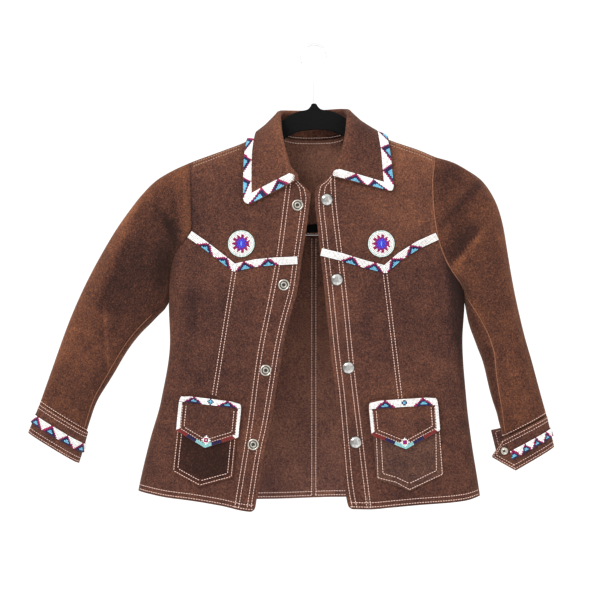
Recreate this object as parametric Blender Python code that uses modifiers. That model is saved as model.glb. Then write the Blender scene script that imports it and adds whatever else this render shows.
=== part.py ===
"""A child's suede western jacket with beaded trim, hung open on a flat hanger.

Lengths in the tables are millimetres, as a pattern cutter would write them. The
origin is where a rail bears on the hook, +Z is up, +X is to the right of someone
who faces the jacket's front, and the front looks along -Y. Left and right are
that viewer's. A face of -1 is the front of the jacket and +1 the back.
"""

import math

import bpy
import numpy as np

MM = 0.001

# Driving sizes
SUEDE = 1.5         # one layer of suede
DOUBLED = 2.4       # front band and cuffs, two layers stitched together
SEAM = 0.3          # gap between two pieces at a seam
SIDE_SEAM = 0.7     # from the hanger's plane to the edges of the side and shoulder seams
ARM_SEAM = 0.75      # from the armhole's line to the edges on both sides of it
LAID = 0.45         # gap under a piece that lies on another
BEAD_HIGH = 1.8     # how far a beaded band stands up
BEAD_WIDE = 9.4     # width of the beaded bands
ROLL_WIDE = 4.2     # width of the narrow beaded edging on the flaps
ROUND = 2.5         # how square the body's cross-section is, 2 is an ellipse
CAP_FALL = 45.0     # how far below the shoulder line the cloth turns over
BACK_YOKE_Z = -236.0
SNAP_RADIUS = 7.3
ROSETTE_RADIUS = 16.6
HANGER_THICK = 5.6
HANGER_TILT = 1.5   # degrees, the right arm hangs higher
WIRE = 3.4          # hook wire
HOOK_RADIUS = 16.3  # to the middle of the wire


def table(names, rows):
    """A short table as a dictionary of named columns."""
    return dict(zip(names.split(), np.array(rows, float).T))


# Half widths and depths of the body at each height
BODY = table("z left right front back", [
    (-80, 172, 178, 25, 26),
    (-150, 176, 182, 29, 30),
    (-200, 178, 185, 33, 32),
    (-250, 180, 187, 36, 34),
    (-322, 181.5, 188, 39, 36),
    (-368, 180, 185.5, 40, 37),
    (-443, 191, 190.5, 41, 39),
    (-493, 205, 196.5, 43, 41),
    (-545, 217.4, 204.8, 44.3, 42.4),
    (-580, 224, 210, 45, 43),
])

# Top of the shoulders
SHOULDER = table("x z", [
    (-176, -156), (-155, -146.5), (-112, -130.6), (-85, -120), (-70, -110.5),
    (-50, -97), (-38, -91), (0, -85), (38, -90), (50, -95), (70, -106),
    (92, -117), (131, -130.6), (152, -139.5), (191, -155.6),
])

# Soft folds in the body: a ridge or a trough from one point to another
FOLDS = table("face x0 z0 x1 z1 width deep", [
    (-1, -166, -315, -176, -470, 13, -3.0),
    (-1, -134, -330, -150, -430, 12, -2.2),
    (-1, -58, -300, -84, -420, 13, 2.0),
    (-1, 158, -290, 150, -420, 13, -2.6),
    (-1, 178, -400, 186, -520, 12, 2.4),
    (-1, 60, -310, 72, -420, 14, 1.8),
    (1, -108, -270, -132, -560, 20, -4.5),
    (1, -60, -300, -66, -560, 18, 2.5),
    (1, 62, -290, 60, -560, 18, 2.8),
    (1, 112, -265, 126, -560, 20, -4.0),
])

HEM = {
    -1: table("x z", [(-222, -555), (-206, -558), (-183, -562), (-153, -565.3),
                      (-116, -571), (-76, -578.5), (40, -575), (68, -575.5), (93, -573.5),
                      (130, -570.5), (167, -568.5), (188, -566.5), (206, -562)]),
    1: table("x z", [(-222, -554.5), (-110, -568), (-72, -571), (-32, -570),
                     (0, -568.7), (28, -568), (110, -568), (206, -561.5)]),
}

# Front yoke seam, with its point over each dart
YOKE = table("x z", [
    (-156, -236), (-135, -250.6), (-115, -266), (-98.7, -279), (-73, -273.5),
    (-51.5, -271.5), (-21, -270), (8, -259.5), (33, -265.7), (61.5, -274.5),
    (87.4, -281), (106, -265), (128, -251), (152, -240),
])

SIDES = {
    "left": {
        "sign": -1,
        "neck": (-50, -97),
        "shoulder": (-155, -146.5),
        "yoke_point": -98.7,
        "dart_hem": -138.0,
        "armhole": table("z x", [
            (-146.5, -155), (-182, -153), (-229, -152), (-242.5, -159),
            (-255, -169.5), (-271, -177), (-288, -179.8), (-305, -180.9), (-322, -181.5)]),
        "neckline": table("x z", [
            (-50, -97), (-47.5, -108), (-44, -121), (-39, -136), (-33.5, -149),
            (-29, -157), (-23.7, -164.6), (-17.5, -172), (-9.5, -179.7), (-4, -186)]),
        "band_seam": table("z x", [
            (-157, -29), (-180, -32.3), (-264, -43.4), (-325, -55), (-370, -64.3),
            (-404, -69.9), (-466, -77.9), (-528, -87.8), (-580, -96.5)]),
        "front_edge": table("z x", [
            (-186, -4), (-201, -5.6), (-240, -11), (-271, -15.8), (-305, -20.5),
            (-337, -29.2), (-370, -37), (-424, -45.9), (-474, -54.4),
            (-502, -60.8), (-580, -73.6)]),
        "snaps": table("x z", [(-20.5, -201), (-37.5, -299.4), (-59.7, -404.6), (-75, -495.7)]),
        "rosette": (-89.8, -247.5),
        "pocket": [(-165, -438), (-91, -445.5), (-100, -536.7), (-140.8, -548), (-175, -530)],
        "flap": [(-166.5, -435.3), (-88.8, -443.3), (-93.7, -487.8), (-134.3, -500), (-170.5, -480)],
    },
    "right": {
        "sign": 1,
        "neck": (50, -95),
        "shoulder": (152, -139.5),
        "yoke_point": 87.4,
        "dart_hem": 115.0,
        "armhole": table("z x", [
            (-139.5, 152), (-173, 147.5), (-200, 148.5), (-237.5, 153.5), (-249, 156.6),
            (-270, 165), (-284, 173.5), (-300, 184.5), (-310, 187.2), (-322, 188)]),
        "neckline": table("x z", [
            (50, -95), (47.5, -106), (44, -119), (39, -132), (33, -144),
            (28, -152), (22.5, -159.5), (17.2, -167), (10, -172.5), (4.8, -176.6), (0.8, -183)]),
        "band_seam": table("z x", [
            (-159, 22.5), (-195, 24), (-244, 29.5), (-318, 38), (-404, 46.6),
            (-466, 54), (-528, 61.4), (-580, 68)]),
        "front_edge": table("z x", [
            (-183, 0.8), (-201, 1.2), (-232, 4.7), (-264, 7.9), (-300, 12.1),
            (-325, 14.7), (-385, 20.8), (-432, 26.6), (-491, 31.9), (-549, 37.4), (-580, 43.6)]),
        "snaps": table("x z", [(15.5, -194.1), (28, -293), (42, -401.5), (51, -492.9)]),
        "rosette": (82.7, -247.5),
        "pocket": [(69, -446.5), (150, -442), (159.5, -533), (117.5, -553.2), (76.5, -538)],
        "flap": [(66.1, -443.8), (150.8, -439), (153.7, -478.6), (112.7, -502), (69.9, -484)],
    },
}

# Sleeve sections: outer and inner outline points, and half the depth
SLEEVES = {
    "left": table("ox oz ix iz deep", [
        (-155, -146.5, -181.5, -322, 24),
        (-175, -155.6, -186.2, -329.4, 27),
        (-196.2, -168.1, -195, -338.1, 29),
        (-214.5, -186, -204.5, -348, 29),
        (-230, -205.6, -213.8, -357, 28),
        (-247.5, -230.6, -222.5, -366.9, 27),
        (-262.5, -255.6, -231.2, -378.5, 26),
        (-277, -281.9, -240, -392.5, 25),
        (-289, -306, -247.5, -405.6, 23.5),
        (-300, -330.6, -255, -418, 22),
        (-310, -355.6, -262.5, -429.7, 20.5),
        (-319, -380.6, -269.5, -441.3, 19),
        (-327.8, -405.6, -275, -453.8, 17.5),
        (-335.8, -428.1, -279.4, -467.2, 16),
        (-342, -445.6, -284, -481.5, 15),
    ]),
    "right": table("ox oz ix iz deep", [
        (152, -139.5, 188, -322, 24),
        (172.5, -145.6, 189.2, -327, 28),
        (191.2, -155.6, 190.6, -334, 30),
        (208.8, -168.1, 192.4, -343, 30),
        (221.2, -184.4, 195.5, -354, 29),
        (230, -203.1, 200, -366, 28),
        (236.2, -225.6, 205, -379.4, 27),
        (240.5, -250.6, 210, -392, 26),
        (245, -278.1, 213.8, -405.6, 24.5),
        (250, -305.6, 216.8, -419, 23),
        (256.2, -334.4, 220, -432.5, 21.5),
        (263.8, -365.6, 223.8, -445.6, 20),
        (272.5, -395.6, 228, -458.1, 18.5),
        (281.2, -428.1, 231.5, -472, 17),
        (290.4, -461.5, 236, -488.5, 15.5),
    ]),
}
ARMHOLE_RINGS = 4    # rings over which the armhole's shape fades out of the sleeve
FOLD_RINGS = 1.3     # rings over which the sleeve's folds grow from the armhole

# Folds along and across the sleeves, by ring and by angle round the section in degrees
SLEEVE_FOLDS = {
    "left": table("ring0 angle0 ring1 angle1 wide deep", [
        (2.4, 36, 0.7, 92, 10, -5.0),
        (3.5, 34, 7.6, 64, 14, 3.2),
        (7.0, 86, 8.4, 122, 7, -2.0),
        (8.0, 168, 9.6, 132, 9, -1.8),
        (9.0, 96, 13.0, 104, 12, -1.6),
        (7.0, 235, 10.0, 262, 12, -2.4),
    ]),
    "right": table("ring0 angle0 ring1 angle1 wide deep", [
        (2.9, 76, 0.7, 116, 10, 6.5),
        (2.8, 63, 0.6, 103, 8, -6.0),
        (2.8, 42, 1.0, 80, 9, 4.0),
        (1.7, 30, 0.5, 82, 10, -4.0),
        (1.0, 146, 5.5, 128, 7, -2.0),
        (5.5, 128, 12.9, 140, 7, -2.0),
        (9.0, 50, 13.5, 70, 12, 1.8),
        (8.0, 230, 10.5, 255, 12, -2.2),
    ]),
}

LEFT_CUFF = table("ox oz ix iz deep", [
    (-342.2, -446.3, -284.3, -482.3, 15.4),
    (-350, -465.6, -289.6, -501.6, 14.5),
    (-357.2, -483.4, -295.6, -521, 14),
])
LEFT_CUFF_ENDS = (-150.0, 240.0)     # degrees round it of the hidden end and of the tab's corners
LEFT_CUFF_TIP = 22.0                 # degrees that the tab's point reaches further
LEFT_CUFF_RISE = (172.0, 32.0)       # where the tab starts to rise over the hidden end, and for how long
CUFF_BAND = (0.37, 0.65)             # shares of the cuff's height between which its beads lie

# The open right cuff, from the tip of its tab round to the underlap: distance
# along the cuff's own line from its outer fold, depth and the height at that place
RIGHT_CUFF_PATH = table("along y", [
    (83, -13.5), (72, -17), (56, -19.5), (36, -20), (16, -18), (5, -13),
    (0.6, -6), (0, 0), (0.8, 6.5), (6, 13.5), (18, 18.5), (30, 20.6), (45, 20.4),
    (58, 17.5), (65, 15.5), (71.5, 16),
])
RIGHT_CUFF_TOP = (291, -462.4)
RIGHT_CUFF_BOTTOM = (300, -500.5)
RIGHT_CUFF_LINE = {"top": (-0.893, -0.450), "bottom": (-0.863, -0.505)}
UNDERLAP_FROM = 18.0                # past this length from the fold the hidden end turns up
UNDERLAP_TURN = 15.0                # and by how many degrees
RIGHT_CUFF_BAND = (0.142, 0.9)      # shares of the cuff's length between which its beads lie
RIGHT_CUFF_ROWS = table("share notch", [   # rows down the cuff and how far the tab is cut back there
    (0, 21.5), (0.16, 10), (0.31, 0), (0.65, 13), (1, 26),
])
RIGHT_CUFF_BEADS = (0.41, 0.665)    # shares of its height between which its beads lie
RIGHT_CUFF_SNAP = (0.325, 0.103)    # share of its height and of its length where its snap is

# Collar: neck seam, fold and outer edge at each station round the neck
COLLAR = table("seam_x seam_z fold_x fold_y fold_z edge_x edge_z face bend", [
    (-23.7, -164.2, -25.5, -39.5, -163.5, -87.3, -199.4, -1, 2.1),
    (-29.0, -157.0, -30.5, -37.0, -152.5, -88.1, -184.0, -1, 2.3),
    (-33.5, -149.0, -34.7, -35.0, -140.5, -88.4, -168.0, -1, 2.6),
    (-39.5, -134.0, -39.3, -31.0, -121.0, -88.0, -150.0, -1, 2.9),
    (-45.0, -117.0, -42.3, -23.5, -102.0, -86.0, -133.0, -1, 3.2),
    (-50.0, -97.0, -43.0, -6.0, -84.5, -80.5, -117.5, 0, 3.5),
    (-46.0, -106.0, -39.0, 11.0, -80.0, -70.0, -128.0, 1, 3.6),
    (-34.0, -114.0, -28.5, 20.5, -79.2, -48.0, -132.5, 1, 3.6),
    (-17.0, -116.3, -14.5, 25.0, -78.9, -24.0, -134.5, 1, 3.6),
    (0.0, -116.5, 0.0, 26.0, -78.6, 0.0, -135.0, 1, 3.6),
    (17.0, -116.0, 14.5, 25.0, -77.9, 25.0, -134.5, 1, 3.6),
    (34.0, -113.0, 28.5, 20.5, -77.3, 50.0, -132.0, 1, 3.6),
    (46.0, -104.0, 39.5, 11.0, -78.2, 74.0, -127.0, 1, 3.6),
    (50.0, -95.0, 42.3, -6.0, -82.6, 87.6, -114.0, 0, 3.5),
    (45.0, -115.0, 41.3, -23.5, -100.3, 92.2, -131.0, -1, 3.2),
    (39.5, -131.0, 38.4, -31.0, -120.0, 95.4, -146.0, -1, 2.9),
    (33.0, -144.0, 34.0, -35.0, -138.5, 97.6, -160.0, -1, 2.6),
    (28.0, -152.0, 29.8, -37.0, -149.0, 98.8, -172.0, -1, 2.3),
    (22.5, -159.2, 25.0, -38.5, -158.4, 99.7, -183.6, -1, 2.1),
])
COLLAR_WALL = 1.6
COLLAR_EDGE_LIFT = 3.9   # the collar's outer face over the body, at its edge

# Top edge of the hanger's arms, before it is tilted
HANGER_TOP = table("x z", [
    (0, -72.5), (2.6, -72.8), (4.5, -76), (9, -80), (17, -81.5), (30, -86), (42.5, -95),
    (51, -102.8), (60, -108.8), (85, -123.8), (112, -134.8), (147, -148.5), (175, -160), (195, -171),
    (208, -183), (215, -196), (217.5, -210), (216, -222), (209, -230), (196, -233.5),
])
HANGER_HOLE = table("x z", [
    (0, -105), (17, -106.5), (30, -111), (42.5, -118.5), (60, -129.5), (85, -144),
    (112, -155.5), (147, -169.5), (175, -181.5), (192, -191.5), (202, -202),
    (205.5, -212), (203, -220), (194, -223.2),
])
HANGER_BAR = (-223.2, -233.5)


def smooth(xs, ys, x):
    """A smooth curve through the points that doesn't overshoot them."""
    order = np.argsort(xs)
    xs, ys = xs[order], ys[order]
    step = np.diff(xs)
    slope = np.diff(ys) / step
    ends = np.zeros_like(ys)
    product = slope[:-1] * slope[1:]
    total = slope[:-1] + slope[1:]
    turning = product <= 0
    ends[1:-1] = np.where(turning, 0, 2 * product / np.where(turning, 1, total))
    ends[0], ends[-1] = slope[0], slope[-1]
    x = np.clip(x, xs[0], xs[-1])
    i = np.clip(np.searchsorted(xs, x) - 1, 0, len(step) - 1)
    t = (x - xs[i]) / step[i]
    return (ys[i] * (1 + 2 * t) * (1 - t) ** 2 + ends[i] * step[i] * t * (1 - t) ** 2
            + ys[i + 1] * t * t * (3 - 2 * t) + ends[i + 1] * step[i] * t * t * (t - 1))


def ridge(x, z, x0, z0, x1, z1, wide):
    """1 on the line from one point to the other, fading to 0 on both sides and at the ends."""
    run = np.array([x1 - x0, z1 - z0])
    long = np.hypot(*run)
    along = ((x - x0) * run[0] + (z - z0) * run[1]) / long
    aside = ((x - x0) * run[1] - (z - z0) * run[0]) / long
    past = np.maximum(np.maximum(-along, along - long), 0)
    return np.exp(-(aside / wide) ** 2 - (past / (1.6 * wide)) ** 2)


def half_width(x, z):
    return np.where(x < 0, smooth(BODY["z"], BODY["left"], z), smooth(BODY["z"], BODY["right"], z))


def depth(x, z, face):
    """How far the body's outer face stands from the hanger's plane."""
    x, z = np.asarray(x, float), np.asarray(z, float)
    deep = smooth(BODY["z"], BODY["front" if face < 0 else "back"], z)
    across = np.clip(1 - (np.abs(x) / half_width(x, z)) ** ROUND, 0, 1) ** (1 / ROUND)
    fall = np.clip((smooth(SHOULDER["x"], SHOULDER["z"], x) - z) / CAP_FALL, 0, 1)
    for i in np.flatnonzero(FOLDS["face"] == face):
        fold = {name: column[i] for name, column in FOLDS.items()}
        deep = deep + fold["deep"] * ridge(
            x, z, fold["x0"], fold["z0"], fold["x1"], fold["z1"], fold["width"])
    return deep * across * np.sqrt(1 - (1 - fall) ** 2)


def on_body(xz, face, lift=0.0):
    """Points of the body's outer face over the points xz, moved out by lift."""
    x, z = xz[..., 0], xz[..., 1]
    point = np.stack([x, face * depth(x, z, face), z], -1)
    if not lift:
        return point
    step = 0.5
    normal = np.stack([
        depth(x - step, z, face) - depth(x + step, z, face),
        np.full(x.shape, face * 2 * step),
        depth(x, z - step, face) - depth(x, z + step, face)], -1)
    return point + lift * normal / np.linalg.norm(normal, axis=-1, keepdims=True)


def line(fro, to, count, ease=None):
    """Numbers from fro to to in count steps, drawn together towards an eased end."""
    t = np.linspace(0, 1, count + 1)
    if ease == "end":
        t = np.sin(t * math.pi / 2)
    if ease == "start":
        t = 1 - np.cos(t * math.pi / 2)
    return fro + (to - fro) * t


def pairs(x, z):
    return np.stack(np.broadcast_arrays(x, z), -1).astype(float)


def joined(*stretches):
    """Stretches of a boundary end to end, each starting where the last one ended."""
    return np.concatenate([stretches[0]] + [s[1:] for s in stretches[1:]])


def patch(first, last, start, end):
    """Grid of points between four boundaries: rows run from first to last, columns from start to end."""
    def share(a, b):
        steps = np.linalg.norm(np.diff((a + b) / 2, axis=0), axis=1)
        return np.concatenate([[0], np.cumsum(steps) / steps.sum()])
    u = share(first, last)[None, :, None]
    v = share(start, end)[:, None, None]
    edges = (1 - v) * first[None] + v * last[None] + (1 - u) * start[:, None] + u * end[:, None]
    corners = ((1 - u) * (1 - v) * first[0] + u * (1 - v) * first[-1]
               + (1 - u) * v * last[0] + u * v * last[-1])
    return edges - corners


def material(name, colour, rough, metal=0.0):
    made = bpy.data.materials.new(name)
    made.use_nodes = True
    shader = made.node_tree.nodes["Principled BSDF"]
    shader.inputs["Base Color"].default_value = (*colour, 1)
    shader.inputs["Roughness"].default_value = rough
    shader.inputs["Metallic"].default_value = metal
    return made


def add(name, mesh, look, place=None):
    obj = bpy.data.objects.new(name, mesh)
    mesh.materials.clear()
    mesh.materials.append(look)
    jacket.objects.link(obj)
    if place is not None:
        obj.location = place
    return obj


def wall(name, grid, thick, look, out, outward=False, ring=False):
    """A cloth wall: an open surface through the grid, thickened inwards, or outwards from its points.

    out points away from the cloth's outer face at the middle of the grid."""
    rows, columns = grid.shape[:2]
    index = np.arange(rows * columns).reshape(rows, columns)
    if ring:
        index = np.concatenate([index, index[:, :1]], 1)
    faces = np.stack([index[:-1, :-1], index[:-1, 1:], index[1:, 1:], index[1:, :-1]], -1)
    middle = faces[(rows - 1) // 2, (index.shape[1] - 1) // 2]
    a, b, c, _ = grid.reshape(-1, 3)[middle]
    faces = faces.reshape(-1, 4)
    if np.dot(np.cross(b - a, c - b), out) < 0:
        faces = faces[:, ::-1]
    mesh = bpy.data.meshes.new(name)
    mesh.from_pydata((grid.reshape(-1, 3) * MM).tolist(), [], faces.tolist())
    mesh.shade_smooth()
    obj = add(name, mesh, look)
    shell = obj.modifiers.new("wall", "SOLIDIFY")
    shell.thickness = thick * MM
    shell.offset = 1 if outward else -1
    return obj


def seam_x(side, column, z):
    part = SIDES[side][column]
    return smooth(part["z"], part["x"], z)


def neckline(side, x):
    part = SIDES[side]["neckline"]
    return smooth(part["x"], part["z"], x)


def yoke_z(x):
    return np.interp(x, YOKE["x"], YOKE["z"])


def yoke_columns(side):
    """Where the columns of the pieces above and below the front yoke seam meet it."""
    sign = SIDES[side]["sign"]
    low = meeting(side, "band_seam", yoke_z, -270.0)
    arm = float(yoke_z(seam_x(side, "armhole", -237.0)))
    point = SIDES[side]["yoke_point"]
    band = float(seam_x(side, "band_seam", low)) + sign * SEAM / 2
    return joined(line(band, point, 3), line(point, armhole_xz(side, arm, ARM_SEAM)[0], 6, "end"))


def hem_z(face, x):
    return smooth(HEM[face]["x"], HEM[face]["z"], x)


def armhole_xz(side, z, clear):
    """Points of the armhole, moved towards the body by clear."""
    return pairs(seam_x(side, "armhole", z) - SIDES[side]["sign"] * clear, z)


def meeting(side, column, curve, guess):
    """The height at which a seam crosses a curve given as a height for each x."""
    z = guess
    for _ in range(30):
        z = float(curve(seam_x(side, column, z)))
    return z


def front_yoke(side):
    sign = SIDES[side]["sign"]
    gap = SEAM / 2
    low = meeting(side, "band_seam", yoke_z, -270.0)
    neck_x, neck_z = SIDES[side]["neck"]
    shoulder_x, shoulder_z = SIDES[side]["shoulder"]
    band_top = SIDES[side]["band_seam"]["z"][0]
    across = yoke_columns(side)
    bottom = pairs(across, yoke_z(across) + gap)
    shoulder_across = line(neck_x, shoulder_x - sign * ARM_SEAM, 9)
    top = pairs(shoulder_across, smooth(SHOULDER["x"], SHOULDER["z"], shoulder_across))
    seam = line(low + gap, band_top, 4)
    neck_across = line(float(seam_x(side, "band_seam", band_top)) + sign * gap, neck_x, 5)
    inner = joined(pairs(seam_x(side, "band_seam", seam) + sign * gap, seam),
                   pairs(neck_across, neckline(side, neck_across)))
    inner[-1] = top[0]
    up = joined(line(float(bottom[-1, 1]), -190.0, 4), line(-190.0, shoulder_z, 5, "end"))
    outer = armhole_xz(side, up, ARM_SEAM)
    outer[0], outer[-1] = bottom[-1], top[-1]
    grid = on_body(patch(bottom, top, inner, outer), -1)
    grid[-1, :, 1] = -SIDE_SEAM
    return grid


def front_panel(side):
    sign = SIDES[side]["sign"]
    gap = SEAM / 2
    low = meeting(side, "band_seam", yoke_z, -270.0)
    underarm = float(SIDES[side]["armhole"]["z"].min())
    across = yoke_columns(side)
    top = pairs(across, yoke_z(across) - gap)
    hem_band = meeting(side, "band_seam", lambda x: hem_z(-1, x), -572.0)
    side_hem = hem_z(-1, sign * 999)
    hem_across = joined(
        line(float(seam_x(side, "band_seam", hem_band)) + sign * gap, SIDES[side]["dart_hem"], 3),
        line(SIDES[side]["dart_hem"], sign * float(half_width(sign * 1.0, side_hem)), 6, "end"))
    bottom = pairs(hem_across, hem_z(-1, hem_across))
    down = line(low - gap, float(hem_z(-1, hem_across[0])), 15)
    inner = pairs(seam_x(side, "band_seam", down) + sign * gap, down)
    arm_down = line(float(top[-1, 1]), underarm, 5)
    side_down = line(underarm, float(bottom[-1, 1]), 10)
    outer = joined(armhole_xz(side, arm_down, ARM_SEAM),
                   pairs(sign * half_width(sign * 1.0, side_down), side_down))
    outer[0] = top[-1]
    grid = on_body(patch(top, bottom, inner, outer), -1)
    grid[5:, -1, 1] = -SIDE_SEAM
    return grid


def front_band(side):
    sign = SIDES[side]["sign"]
    gap = SEAM / 2
    band_top = float(SIDES[side]["band_seam"]["z"][0])
    edge_top = float(SIDES[side]["front_edge"]["z"][0])
    across = line(float(seam_x(side, "band_seam", band_top)) - sign * gap,
                  float(seam_x(side, "front_edge", edge_top)), 3)
    top = pairs(across, neckline(side, across))
    seam_low = meeting(side, "band_seam", lambda x: hem_z(-1, x), -572.0)
    edge_low = meeting(side, "front_edge", lambda x: hem_z(-1, x), -572.0)
    hem_across = line(float(seam_x(side, "band_seam", seam_low)) - sign * gap,
                      float(seam_x(side, "front_edge", edge_low)), 3)
    bottom = pairs(hem_across, hem_z(-1, hem_across))
    down = line(float(top[0, 1]), float(bottom[0, 1]), 22)
    edge_down = line(float(top[-1, 1]), float(bottom[-1, 1]), 22)
    inner = pairs(seam_x(side, "band_seam", down) - sign * gap, down)
    outer = pairs(seam_x(side, "front_edge", edge_down), edge_down)
    return on_body(patch(top, bottom, inner, outer), -1)


def back_yoke():
    gap = SEAM / 2
    low = BACK_YOKE_Z + gap
    arms = [armhole_xz(side, low, ARM_SEAM) for side in SIDES]
    across = joined(line(arms[0][0], 0.0, 8), line(0.0, arms[1][0], 8))
    bottom = pairs(across, low)
    stretches = []
    for side, turn in (("left", 1), ("right", -1)):
        shoulder_x = SIDES[side]["shoulder"][0] - SIDES[side]["sign"] * ARM_SEAM
        neck_x = SIDES[side]["neck"][0]
        over = line(shoulder_x, neck_x, 5)[::turn]
        neck = line(neck_x, 0.0, 3, "start")[::turn]
        seam = pairs(over, smooth(SHOULDER["x"], SHOULDER["z"], over))
        curve = pairs(neck, smooth(COLLAR["seam_x"][5:14], COLLAR["seam_z"][5:14], neck))
        stretches += [seam, curve] if turn > 0 else [curve, seam]
    top = joined(*stretches)
    up = {side: joined(line(low, -190.0, 3), line(-190.0, SIDES[side]["shoulder"][1], 5, "end"))
          for side in SIDES}
    grid = on_body(patch(bottom, top, armhole_xz("left", up["left"], ARM_SEAM),
                         armhole_xz("right", up["right"], ARM_SEAM)), 1)
    on_shoulder = np.abs(grid[-1, :, 0]) >= min(-SIDES["left"]["neck"][0], SIDES["right"]["neck"][0]) - 0.01
    grid[-1, on_shoulder, 1] = SIDE_SEAM
    return grid


def back_panel(side):
    sign = SIDES[side]["sign"]
    gap = SEAM / 2
    underarm = float(SIDES[side]["armhole"]["z"].min())
    low = BACK_YOKE_Z - gap
    centre = sign * gap
    across = line(centre, armhole_xz(side, low, ARM_SEAM)[0], 9, "end")
    top = pairs(across, low)
    side_hem = hem_z(1, sign * 999)
    hem_across = line(centre, sign * float(half_width(sign * 1.0, side_hem)), 9, "end")
    bottom = pairs(hem_across, hem_z(1, hem_across))
    inner = pairs(centre, line(low, float(bottom[0, 1]), 13))
    outer = joined(armhole_xz(side, line(low, underarm, 4), ARM_SEAM),
                   pairs(0.0, line(underarm, float(bottom[-1, 1]), 9)))
    outer[4:, 0] = sign * half_width(sign * 1.0, outer[4:, 1])
    grid = on_body(patch(top, bottom, inner, outer), 1)
    grid[4:, -1, 1] = SIDE_SEAM
    return grid


def ring_shape(angle, squareness=2.3):
    """Along and aside shares of a rounded section at each angle, from the outer point round the front."""
    c, s = np.cos(angle), np.sin(angle)
    reach = (np.abs(c) ** squareness + np.abs(s) ** squareness) ** (-1 / squareness)
    return c * reach, s * reach


def sleeve_bump(side, ring, angle):
    folds = SLEEVE_FOLDS[side]
    total = 0.0
    ring_long, turn_long = 24.0, 0.9     # millimetres for one ring and for one degree
    for i in range(len(folds["deep"])):
        f = {name: column[i] for name, column in folds.items()}
        total = total + f["deep"] * ridge(
            ring * ring_long, np.degrees(angle) * turn_long, f["ring0"] * ring_long,
            f["angle0"] * turn_long, f["ring1"] * ring_long, f["angle1"] * turn_long, f["wide"])
    return total


def sleeve_point(side, ring, angle):
    """Points of the sleeve's outer face, for a ring number and an angle round it."""
    ring, angle = np.broadcast_arrays(np.asarray(ring, float), np.asarray(angle, float))
    rows = SLEEVES[side]
    number = np.arange(len(rows["ox"]), dtype=float)
    ox, oz, ix, iz, deep = (smooth(number, rows[n], ring) for n in "ox oz ix iz deep".split())
    along, aside = ring_shape(angle)
    t = (1 - along) / 2
    x, z = ox + t * (ix - ox), oz + t * (iz - oz)
    hold = np.clip(1 - ring / ARMHOLE_RINGS, 0, 1) ** 2
    top, underarm = rows["oz"][0], rows["iz"][0]
    arm_z = top + t * (underarm - top)
    arm_x = seam_x(side, "armhole", arm_z)
    start_x = rows["ox"][0] + t * (rows["ix"][0] - rows["ox"][0])
    grow = np.clip(ring / FOLD_RINGS, 0, 1)
    bump = sleeve_bump(side, ring, angle) * grow * grow * (3 - 2 * grow) * np.sqrt(np.abs(np.sin(angle)))
    y = np.where(aside >= 0, -1, 1) * (
        (1 - hold) * deep * np.abs(aside) + bump
        + hold * np.where(aside >= 0, depth(arm_x, arm_z, -1), depth(arm_x, arm_z, 1)))
    gap = SIDES[side]["sign"] * ARM_SEAM * hold
    return np.stack([x + hold * (arm_x - start_x) + gap, y, z], -1)


def sleeve(side):
    angles = np.arange(28) / 28 * 2 * math.pi
    rings = np.concatenate([np.arange(0, 5, 0.5), np.arange(5, len(SLEEVES[side]["ox"]), 1.0)])
    grid = sleeve_point(side, rings[:, None], angles[None, :])
    grid[-1, :, 2] += 0.5 * SEAM
    return grid


def left_cuff_point(share, angle, lift=0.0):
    """Points of the left cuff's outer face: share runs from its top edge to its end."""
    share, angle = np.broadcast_arrays(np.asarray(share, float), np.asarray(angle, float))
    number = np.linspace(0, 1, 3)
    ox, oz, ix, iz, deep = (smooth(number, LEFT_CUFF[n], share) for n in "ox oz ix iz deep".split())
    along, aside = ring_shape(angle)
    centre = np.stack([(ox + ix) / 2, (oz + iz) / 2], -1)
    half = np.stack([(ox - ix) / 2, (oz - iz) / 2], -1)
    long = np.linalg.norm(half, axis=-1)
    grow = 1 + lift / long
    xz = centre + half * (grow * along)[..., None]
    return np.stack([xz[..., 0], -(deep + lift) * aside, xz[..., 1]], -1)


def left_cuff_rise(angle):
    """How far the tab stands off where it laps over the cuff's other end."""
    start, long = (math.radians(a) for a in LEFT_CUFF_RISE)
    lapped = np.clip((angle - start) / long, 0, 1)
    return lapped * lapped * (3 - 2 * lapped) * (DOUBLED + LAID + 0.5)


def left_cuff():
    """A band that laps over itself on the sleeve's hidden side and ends in a pointed tab."""
    start, corner = (math.radians(a) for a in LEFT_CUFF_ENDS)
    share = np.linspace(0, 1, 5)
    end = corner + math.radians(LEFT_CUFF_TIP) * (1 - np.abs(2 * share - 1))
    t = np.linspace(0, 1, 35)
    angle = start + (end[:, None] - start) * t[None, :]
    return left_cuff_point(share[:, None], angle, left_cuff_rise(angle))


def left_cuff_band():
    share = np.linspace(*CUFF_BAND, 3)[:, None]
    angle = np.radians(np.linspace(-86, 222, 31))[None, :]
    return left_cuff_point(share, angle, left_cuff_rise(angle) + LAID + 0.15)


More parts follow.
